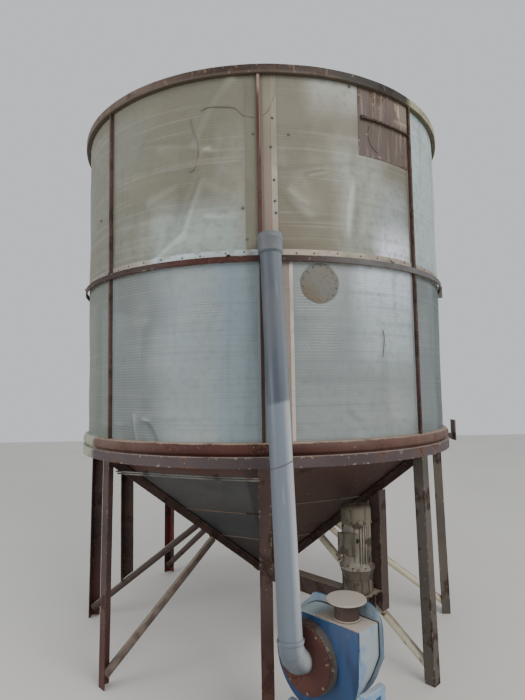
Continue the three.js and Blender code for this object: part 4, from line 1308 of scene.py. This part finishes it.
def build_rods():
    """The pair of thin rods between the two front left legs, with their twists of wire."""
    rod_r = 1.238
    inward = -outward(-SECTOR / 2)
    rods = Shape()
    for i, z in enumerate((1.19, 1.176)):
        start = polar(rod_r, -SECTOR, z - 0.004)
        end = polar(rod_r, 0, z)
        line = [start.lerp(end, j / 10) - UP * (0.004 * math.sin(math.pi * j / 10)) for j in range(11)]
        rods.tube([point + inward * 0.012 * i for point in line], 0.0045, 8)
    rods.piece("front_rods", "rod_zinc", "galvanised")

    twist = Shape()
    for share in (0.22, 0.7):
        middle = polar(rod_r, -SECTOR, 1.18).lerp(polar(rod_r, 0, 1.184), share)
        loop = []
        for j in range(26):
            a = j * 0.9
            spot = middle + UP * (0.0155 * math.cos(a)) - inward * (0.0155 * math.sin(a) - 0.006)
            loop.append(spot + around(-SECTOR / 2) * (j - 13) * 0.0012)
        tail = [loop[-1] + Vector((0.006, -0.004, -0.012)), loop[-1] + Vector((0.018, -0.006, -0.03))]
        twist.tube(curve_through(loop + tail, 2), 0.0016, 6)
    twist.piece("rod_wire_twists", "wire", "rusty_brown")


CORE_T = 0.003
CORE_BOTTOM = 1.29


def revolved_shell(shape, outline, steps, wobble):
    """A dented shell of revolution round the bin's axis. Its outline of (radius, height) has open ends."""
    points = []
    count = len(outline)
    for inward in (0.0, CORE_T):
        for i in range(steps):
            deg = 360 * i / steps
            for radius, z in outline:
                dent = noise.noise(polar(radius, deg, z) * 2.3) * wobble - wobble * 0.6
                points.append(polar(max(0.004, radius - inward + dent * smooth(radius, 0.0, 0.3)), deg, z))
    half = steps * count
    faces = []
    for i in range(steps):
        a = i * count
        b = (i + 1) % steps * count
        for j in range(count - 1):
            faces.append([a + j, b + j, b + j + 1, a + j + 1])
            faces.append([half + a + j, half + a + j + 1, half + b + j + 1, half + b + j])
        faces.append([a, half + a, half + b, b])
        faces.append([a + count - 1, b + count - 1, half + b + count - 1, half + a + count - 1])
    return shape.add(points, faces)


def build_core():
    tall = CORE_TOP - CORE_BOTTOM
    outline = [(CORE_R, CORE_BOTTOM + tall * i / 14) for i in range(15)]
    cylinder = revolved_shell(Shape(), outline, 120, 0.01)
    reach = CORE_R - CORE_T - 0.006
    section = rectangle(-0.03, 0.03, -0.008, 0.0)
    for i in range(4):
        deg = (2 * i + 0.5) * SECTOR
        foot = polar(reach, deg, panel_z(reach) + 0.004)
        cylinder.bar(foot, polar(reach, deg, CORE_BOTTOM + 0.1), section, around(deg), outward(deg))
    cylinder.piece("core_cylinder_sheet", "core_sheet", "galvanised", "inner_cylinder")

    rise = CONE_TOP - CORE_TOP
    steps = 26
    outline = [
        (CORE_R * (1 - i / steps) + 0.005 * i / steps, CORE_TOP + 0.0006 + rise * i / steps)
        for i in range(steps)
    ]
    cone = revolved_shell(Shape(), outline, 120, 0.012)
    cone.turned(profile(0, 0, 40, 0, 36, 10, 0, 14), polar(0, 0, CONE_TOP - 0.046), UP, 20)
    cone.piece("core_cone_sheet", "core_sheet", "galvanised", "inner_cone")


# Air pipe and elbow

PIPE_R = 0.055
SOCKET_LENGTH = 0.095
PIPE_TOP = Vector((AXIS.x + 0.048, AXIS.y - 1.3509, 2.436))
PIPE_FOOT = Vector((AXIS.x + 0.1053, AXIS.y - 1.5676, 0.5386))
ELBOW_R = 0.058
ELBOW_DROP = 0.064
ELBOW_REACH = 0.042
ELBOW_RINGS = (0.24, 0.42, 0.985)
TIE_HEIGHT = 1.297
TIE_R = 0.0017


def build_pipe():
    along = (PIPE_TOP - PIPE_FOOT).normalized()
    shoulder = (PIPE_TOP - PIPE_FOOT).length - SOCKET_LENGTH
    outline = [(0, 0.0), (PIPE_R, 0.0)] + [(PIPE_R, shoulder * i / 16) for i in range(1, 16)]
    outline += profile(
        55, -12, 58, -8, 62, -2, 64, 4, 64, 61, 66.8, 65, 67.2, 73, 66.8, 81, 64, 85, 64, 93, 63, 95, 59, 95,
        56, 92, 55, 12, 49, 10, 0, 10, foot=shoulder,
    )
    Shape().turned(outline, PIPE_FOOT, along, 48).piece("drain_pipe", "pipe_plastic", "grey_pipe", "air_pipe")

    start = PIPE_FOOT - along * GAP
    end = BLOWER_CENTRE - BLOWER_Y * 0.0063
    bend = [start, start - along * ELBOW_DROP, end - BLOWER_Y * ELBOW_REACH, end]
    line = []
    radii = []
    for i in range(65):
        t = i / 64
        weights = ((1 - t) ** 3, 3 * t * (1 - t) ** 2, 3 * t * t * (1 - t), t**3)
        line.append(sum((point * weight for point, weight in zip(bend, weights)), Vector()))
        bead = sum(math.exp(-(((t - spot) / 0.022) ** 2)) for spot in ELBOW_RINGS)
        radii.append(ELBOW_R - 0.0012 + 0.0022 * bead)
    socket = profile(
        0, 6, 55.4, 9, 59, 9.8, 61.2, 8, 61.8, 4, 61.6, -2, 60.4, -6.5, 58, -9, 56.5, -11, 0, -11
    )
    elbow = Shape().tube(line, radii, 40).turned(socket, PIPE_FOOT, along, 48)
    elbow.piece("drain_elbow", "pipe_plastic", "grey_pipe", "pipe_elbow")

    middle = PIPE_FOOT.lerp(PIPE_TOP, (TIE_HEIGHT - PIPE_FOOT.z) / (PIPE_TOP.z - PIPE_FOOT.z))
    loop = []
    for i in range(33):
        a = 2 * math.pi * i / 32
        out = Vector((math.cos(a), math.sin(a), 0))
        loop.append(middle + out * (PIPE_R + 0.0022) + UP * (0.02 * math.cos(a)))
    wire = Shape().tube(curve_through(loop, 2), TIE_R, 6)
    for i, deg in ((7, 3.2), (9, 4.1)):
        back = polar(BASE_R + 0.002, deg, BASE_BOTTOM + 0.03)
        wire.tube(curve_through([loop[i], loop[i].lerp(back, 0.5) - UP * 0.006, back]), TIE_R, 6)
    wire.piece("pipe_tie_wire", "wire", "rusty_brown")


# Blower

CASING_FRONT = 0.042
CASING_BACK = 0.184
CASING_TOP = 0.187
CASING_SMALL_R = 0.187
CASING_LARGE_R = 0.281
CASING_FIRST_DEG = 95
CASING_TAPER = 0.055
TAPER_FROM_DEG = 220
TAPER_TO_DEG = 366
CASING_RIM = 0.02
OUTLET_SIDE_Z = 0.045
RIM_CORNERS = profile(
    301, 45, 301, 150, 299, 174, 294, 196, 286, 215, 273, 232, 256, 246, 240, 254, 221, 258, 100, 232.5,
    0, 222.5, -60, 221.5, -83, 220, -102, 211, -125, 182,
)
STUB_X = 0.159
STUB_Y = 0.118
STAND_BAR = 0.032
STAND_LEFT = -0.15
STAND_RIGHT = 0.27
STAND_FRONT = 0.044
STAND_REAR = 0.19
STAND_RAIL_Z = 0.37
STAND_LOW_RAIL = 0.06


def blower_point(x, y, z):
    """A point in the blower's own frame: +y runs from the inlet into the casing, and z is 0 at the shaft."""
    return BLOWER_CENTRE + BLOWER_X * x + BLOWER_Y * y + UP * z


def bolt_spot(radius, deg, y):
    a = math.radians(deg)
    return blower_point(radius * math.cos(a), y, radius * math.sin(a))


def casing_taper(a):
    """How far the casing narrows towards its back, which it does under the outlet side."""
    share = (a - TAPER_FROM_DEG) / (TAPER_TO_DEG - TAPER_FROM_DEG)
    return CASING_TAPER * math.sqrt(math.sin(math.pi * share)) if share > 0 else 0.0


def scroll(depth, grow, first=CASING_FIRST_DEG):
    """The scroll at a depth behind the inlet, from its first point round to the outlet side, as (x, z)."""
    share = (depth - CASING_FRONT) / (CASING_BACK - CASING_FRONT)
    points = []
    for a in range(first, 356, 5):
        turn = (a - CASING_FIRST_DEG) / (360 - CASING_FIRST_DEG)
        radius = CASING_SMALL_R + (CASING_LARGE_R - CASING_SMALL_R) * turn - share * casing_taper(a) + grow
        points.append((radius * math.cos(math.radians(a)), radius * math.sin(math.radians(a))))
    return points


def casing_outline(depth, grow=0.0):
    corner = 0.003
    right = CASING_LARGE_R + grow
    top = CASING_TOP + grow
    return scroll(depth, grow) + [(right, OUTLET_SIDE_Z), (right, top - corner), (right - corner, top)]


def rim_outline(shrink=0.0):
    """The flange behind the casing, with its raised corners at the top left and the top right."""
    points = scroll(CASING_BACK, CASING_RIM, 130) + RIM_CORNERS
    return [(x * (1 - shrink / math.hypot(x, z)), z * (1 - shrink / math.hypot(x, z))) for x, z in points]


def blower_slab(layers):
    """A closed slab through outlines of equal length, given as (depth, outline, wear)."""
    rows = [[blower_point(x, depth, z) for x, z in outline] for depth, outline, _ in layers]
    return Shape().loft(rows, [edge for _, outline, edge in layers for _ in outline])


def build_blower_casing():
    front, back, bevel = CASING_FRONT, CASING_BACK - 0.006, 0.004
    steps = [(front, -bevel, 1.0), (front + bevel, 0.0, 1.0)]
    steps += [(front + share * (back - front), 0.0, 0.0) for share in (0.15, 0.5, 0.85)]
    steps += [(back - 0.002, 0.0, 0.6), (back, -0.002, 0.6)]
    layers = [(depth, casing_outline(depth, grow), edge) for depth, grow, edge in steps]
    hub = profile(0, 0, 60, 0, 60, 22, 56, 26, 40, 28, 40, 37, 16, 38, 16, 40, 0, 40)
    casing = blower_slab(layers).turned(hub, blower_point(0, CASING_BACK, 0), BLOWER_Y, 36)
    casing.roughen(0.001, 6).piece("blower_scroll", "blower_blue", "blue_paint", "blower_casing")
    layers = ((-0.001, 0.001, 1.0), (0.0, 0.0, 0.6), (0.007, 0.0, 0.6), (0.008, 0.001, 1.0))
    flange = blower_slab([(CASING_BACK + depth, rim_outline(shrink), edge) for depth, shrink, edge in layers])
    flange.roughen(0.001, 6).piece("blower_rear_flange", "rim_blue", "blue_paint", "blower_casing")
    outline = casing_outline(CASING_BACK, 0.0035)
    gasket = blower_slab([(CASING_BACK - 0.006, outline, 0.0), (CASING_BACK - 0.001, outline, 0.0)])
    gasket.piece("blower_gasket", "black_rubber", "blue_paint")
    bolts = Shape()
    for x, z in rim_outline(0.01)[1::5]:
        bolts.hex_bolt(blower_point(x, CASING_BACK + 0.0078, z), BLOWER_Y, 0.007)
    for i in range(4):
        bolts.hex_bolt(bolt_spot(0.05, 45 + 90 * i, CASING_BACK + 0.0255), BLOWER_Y, 0.006)
    bolts.piece("blower_rear_bolts", "screw_steel", "bare_rust")

    start = blower_point(0, CASING_FRONT + 0.001, CASING_TOP)
    end = blower_point(0, CASING_BACK - 0.007, CASING_TOP)
    plate = Shape().bar(start, end, rectangle(0.04, CASING_LARGE_R - 0.001, -0.002, 0.002), BLOWER_X)
    plate.roughen(0.0008, 8).piece("blower_top_plate", "pale_plate", "bare_rust")
    start = blower_point(CASING_LARGE_R, CASING_FRONT + 0.004, 0)
    end = blower_point(CASING_LARGE_R, CASING_BACK - 0.007, 0)
    side = Shape().bar(start, end, rectangle(0.05, CASING_TOP - 0.004, -0.002, 0.0012), UP, BLOWER_X)
    side.roughen(0.0008, 8).piece("blower_side_plate", "blower_blue", "blue_paint")


def build_blower_openings():
    """The inlet's collar and disc in front of the casing, and the outlet's neck and flange on top."""
    stepped = profile(0, 6.2, 153, 6.2, 154.5, 7.8, 156, 20, 158.5, 33)
    stepped += profile(160, -2, 160.8, 2, 0, 2, foot=CASING_FRONT)
    collar = Shape().turned(stepped, BLOWER_CENTRE, BLOWER_Y, 64, [0, 1, 1, 0, 0, 0]).roughen(0.0008)
    collar.piece("blower_inlet_collar", "collar_steel", "bare_rust", "blower_inlet_cover")
    outline = profile(0, -5.8, 147, -5.8, 151.5, -5.2, 153, -3.5, 153, 3.5, 151.5, 6, 0, 6)
    disc = Shape().turned(outline, BLOWER_CENTRE, BLOWER_Y, 64, [0, 0, 1, 1, 0]).roughen(0.0008)
    disc.piece("blower_inlet_disc", "disc_rust", "bare_rust", "blower_inlet_cover")
    heads = Shape()
    for i in range(8):
        heads.screw(bolt_spot(0.143, 10 + 45 * i, -0.005), -BLOWER_Y, 0.0048)
    heads.piece("blower_disc_bolts", "bright_bolt", "bare_rust")

    foot = blower_point(STUB_X, STUB_Y, CASING_TOP + 0.0004)
    neck = profile(0, 0, 63, 0, 63, 4, 60.5, 5.5, 56.5, 8, 55, 12, 55, 75, 57.5, 80, 0, 80)
    stub = Shape().turned(neck, foot, UP, 48, [1, 1, 0, 0, 0, 0, 0]).roughen(0.001, 14)
    stub.piece("blower_outlet_neck", "stub_steel", "bare_rust", "blower_outlet_stub")
    outline = profile(0, 79.7, 88.2, 79.7, 90, 81.5, 90, 86.2, 88.5, 87.8, 0, 87.6)
    flange = Shape().turned(outline, foot, UP, 56, [0.5, 1, 1, 0.5]).roughen(0.0009, 12)
    flange.piece("blower_outlet_flange", "pale_plate", "bare_rust", "blower_outlet_stub")


def build_blower_stand():
    stand = Shape()
    floor_z = -BLOWER_CENTRE.z
    rail_top = STAND_RAIL_Z - BLOWER_CENTRE.z
    half = STAND_BAR / 2
    square = rectangle(-half, half, -half, half)
    low_rail = floor_z + STAND_LOW_RAIL + half
    lowest = min(z for _, z in casing_outline(CASING_FRONT)) - GAP
    lowest_rim = min(z for _, z in rim_outline()) - GAP
    for x, z in ((STAND_LEFT, low_rail), (STAND_RIGHT, low_rail), (STAND_RIGHT, rail_top - half)):
        start = blower_point(x + half, STAND_FRONT, z)
        stand.bar(start, blower_point(x + half, STAND_REAR, z), square, BLOWER_X, UP, 0.003)
    for y, under in ((STAND_FRONT, lowest), (STAND_REAR - STAND_BAR, lowest_rim)):
        for x, top in ((STAND_LEFT, under - 0.001), (STAND_RIGHT, rail_top - 0.0012)):
            foot = blower_point(x + half, y + half, floor_z)
            stand.bar(foot, blower_point(x + half, y + half, top), square, BLOWER_X, BLOWER_Y, 0.003)
        start = blower_point(STAND_LEFT + 0.001, y + half, under - half)
        end = blower_point(STAND_RIGHT + STAND_BAR - 0.001, y + half, under - half)
        stand.bar(start, end, rectangle(-half + 0.001, half - 0.001, -half, half), BLOWER_Y, UP, 0.003)
    for point in stand.points:
        shift = noise.noise_vector(point * 5) * 0.0008
        point.xy += shift.xy
    stand.piece("blower_stand_bars", "stand_blue", "blue_paint", "blower_stand")


# Gearmotor and its beam

MOTOR_ALONG = 0.912
MOTOR_ASIDE = -0.148
FIN_COUNT = 30
BEAM_START = 0.185
BEAM_END = 1.01
TERMINAL_OUT = outward(-35)


def motor_point(x, y, z):
    """A point beside the motor's upright shaft, in the direction of the +45 degree legs."""
    return polar(MOTOR_ALONG, SECTOR, z) + around(SECTOR) * (MOTOR_ASIDE + x) + outward(SECTOR) * y


def upright_fin(shape, deg, z0, z1, inner, outer, half, bevel):
    """A fin that stands out from the motor's shaft."""
    shaft = motor_point(0, 0, 0)
    section = rectangle(inner, outer, -half, half)
    shape.bar(shaft + UP * z0, shaft + UP * z1, section, around(deg), -outward(deg), bevel, 0.08)


def build_motor():
    shaft = motor_point(0, 0, 0)
    bottom = MOTOR_FLANGE_Z
    outline = profile(
        0, 0, 101, 0, 104, 2, 104, 13, 101, 16, 96, 18, 88, 27, 80, 36, 77.5, 45, 77, 140, foot=bottom
    )
    outline += profile(77, -12, 84, -8, 86, -0.6, 0, -0.6, foot=FAN_COVER_Z)
    body = Shape().turned(outline, shaft, UP, 48)
    for i in range(FIN_COUNT):
        deg = 360 * i / FIN_COUNT
        if (around(deg) - TERMINAL_OUT).length >= 0.62:
            upright_fin(body, deg, bottom + 0.04, FAN_COVER_Z - 0.01, 0.074, 0.0862, 0.0018, 0.0008)
    body.roughen(0.0007, 16).piece("motor_finned_body", "fin_paint", "motor_grey", "motor_body")

    outline = profile(0, 0, 91.5, 0, 93, 2, 93, 10, 90.5, 13, foot=FAN_COVER_Z)
    outline += profile(
        90.5, -30, 88, -20, 82, -8.5, 72, -2.5, 60, -0.6, 40, -0.4, 23, -0.6, 20, -2, 19, -8, 0, -8,
        foot=MOTOR_TOP,
    )
    cover = Shape().turned(outline, shaft, UP, 56)
    for row, (radius, count) in enumerate(((0.036, 6), (0.054, 8))):
        for i in range(count):
            deg = 360 * (i + 0.5 * row) / count
            start = shaft + around(deg) * (radius - 0.006) + UP * (MOTOR_TOP - 0.0012)
            cover.tube([start, start + around(deg) * 0.012], 0.0022, 8)
    cover.roughen(0.0006, 18).piece("motor_cowl", "motor_paint", "motor_grey", "motor_fan_cover")

    side = TERMINAL_OUT.cross(UP)
    centre = shaft + TERMINAL_OUT * 0.1093
    lower = centre + UP * 0.68
    section = rectangle(-0.054, 0.054, -0.022, 0.013)
    box = Shape().bar(lower + UP * 0.004, centre + UP * 0.801, section, side, TERMINAL_OUT, 0.005)
    box.bar(lower, centre + UP * 0.805, rectangle(-0.058, 0.058, 0.013, 0.0228), side, TERMINAL_OUT, 0.004)
    box.roughen(0.0007, 14)
    for x in (-0.047, 0.047):
        for z in (0.692, 0.793):
            box.screw(centre + side * x + UP * z + TERMINAL_OUT * 0.0215, TERMINAL_OUT, 0.0035)
    box.piece("terminal_box_and_lid", "motor_paint", "motor_grey", "motor_terminal_box")
    outline = profile(0, 0, 13, 0, 13, 8, 10, 9, 10, 15, 6, 18, 5.5, 12, 0, 12)
    foot = centre - side * 0.053 + UP * 0.765 - TERMINAL_OUT * 0.004
    Shape().turned(outline, foot, -side, 18).piece("terminal_box_gland", "black_rubber", "motor_grey")

    outline = profile(
        0, 0, 76, 0, 80, 3, 86, 10, 88, 16, 88.5, 40, 86.5, 44, 87, 88, 90.5, 92, 91.5, 112, 96.5, 124,
        98, 128, foot=GEARBOX_BOTTOM,
    )
    outline += profile(98, -2, 96.5, 0, 0, 0, foot=MOTOR_FLANGE_Z - GAP)
    gearbox = Shape().turned(outline, shaft, UP, 48)
    for i in range(12):
        z = GEARBOX_BOTTOM + 0.012
        upright_fin(gearbox, 30 * i + 8, z, GEARBOX_BOTTOM + 0.118, 0.08, 0.0925, 0.003, 0.001)
    gearbox.roughen(0.0008, 14)
    for i in range(8):
        gearbox.hex_bolt(shaft + around(45 * i + 22) * 0.0945 + UP * (bottom + 0.016), UP, 0.0065)
    gearbox.piece("gearbox_ribbed", "gearbox_paint", "motor_grey", "gearbox")


def build_beam():
    half = 0.04
    web = half - ANGLE_T
    section = [
        (-half, 0), (half, 0), (half, -BEAM_DEPTH), (web, -BEAM_DEPTH),
        (web, -ANGLE_T), (-web, -ANGLE_T), (-web, -BEAM_DEPTH), (-half, -BEAM_DEPTH),
    ]
    inner = motor_point(0, BEAM_START - MOTOR_ALONG, BEAM_TOP)
    outer = motor_point(0, BEAM_END - MOTOR_ALONG, BEAM_TOP)
    beam = Shape().bar(inner, outer, section, around(SECTOR), UP, 0.002).roughen(0.0009, 5)
    lug_width = -POST_SIZE / 2 - MOTOR_ASIDE - half
    lug = rectangle(-0.003, lug_width - GAP, -0.01, -0.002)
    start = motor_point(half, FRONT_POST_R - 0.035 - MOTOR_ALONG, BEAM_TOP)
    beam.bar(start, motor_point(half, FRONT_POST_R + 0.035 - MOTOR_ALONG, BEAM_TOP), lug, around(SECTOR))
    for x in (-0.055, 0.055):
        for y in (-0.055, 0.055):
            beam.hex_bolt(motor_point(x * 0.5, y * 1.85, BEAM_TOP), UP, 0.008)
    beam.piece("drive_beam_channel", "brown_steel", "rusty_brown", "drive_beam")


# Floor, light and camera


def build_stage():
    floor = bpy.data.meshes.new("floor")
    corners = rectangle(-14.0, 14.0, -14.0, 14.0)
    floor.from_pydata([(x, y, -0.002) for x, y in corners], [], [[0, 1, 2, 3]])
    floor.materials.append(MATERIALS["pale_floor"])
    made = link_object("floor", floor)


def area_light(name, place, size, power, colour):
    """A square light that points at the middle of the bin."""
    light = bpy.data.lights.new(name, "AREA")
    light.shape = "SQUARE"
    light.size = size
    light.energy = power
    light.color = colour
    made = link_object(name, light)
    made.location = place
    made.rotation_euler = (Vector((0, 0, 1.8)) - Vector(place)).to_track_quat("-Z", "Y").to_euler()


def build_lights():
    world = bpy.data.worlds.new("soft_studio")
    world.use_nodes = True
    background = world.node_tree.nodes["Background"]
    background.inputs["Color"].default_value = (0.9, 0.93, 0.96, 1)
    background.inputs["Strength"].default_value = 0.75
    bpy.context.scene.world = world
    area_light("key", (4.5, -6.0, 6.5), 5.0, 420, (1.0, 0.98, 0.95))
    area_light("left_fill", (-6.0, -4.0, 3.5), 4.0, 160, (0.95, 0.98, 1.0))


def build_camera():
    """The photograph's view: a standing eye in front of the blower, turned a little up and to the left."""
    yaw, pitch, roll = (math.radians(a) for a in (-0.64, 4.42, -0.98))
    eye = Vector((0.03 + AXIS.x, -3.935 + AXIS.y, 1.648))
    forward = Vector((math.sin(yaw) * math.cos(pitch), math.cos(yaw) * math.cos(pitch), math.sin(pitch)))
    right = forward.cross(UP).normalized()
    up = right.cross(forward)
    rolled_right = right * math.cos(roll) + up * math.sin(roll)
    rolled_up = up * math.cos(roll) - right * math.sin(roll)
    data = bpy.data.cameras.new("photo_view")
    data.sensor_width = 36
    data.lens = 26.486
    made = link_object("photo_view", data)
    turn = Matrix((rolled_right, rolled_up, -forward)).transposed()
    made.matrix_world = Matrix.Translation(eye) @ turn.to_4x4()
    bpy.context.scene.camera = made


build_camera()
build_stage()
build_lights()
build_wall()
build_wall_strips()
build_wall_fasteners()
build_patch()
build_cover()
build_ribs_and_rings()
build_base()
build_legs()
inner_post("front_right", SECTOR, FRONT_POST_R, "brace_steel", "worn_primer")
inner_post("left", -2 * SECTOR, SIDE_POST_R, "brown_steel", "rusty_brown")
build_hopper()
build_rods()
build_core()
build_pipe()
build_blower_casing()
build_blower_openings()
build_blower_stand()
build_motor()
build_beam()
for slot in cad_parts["skirt_plate"].material_slots:
    slot.material = MATERIALS["skirt_red"]
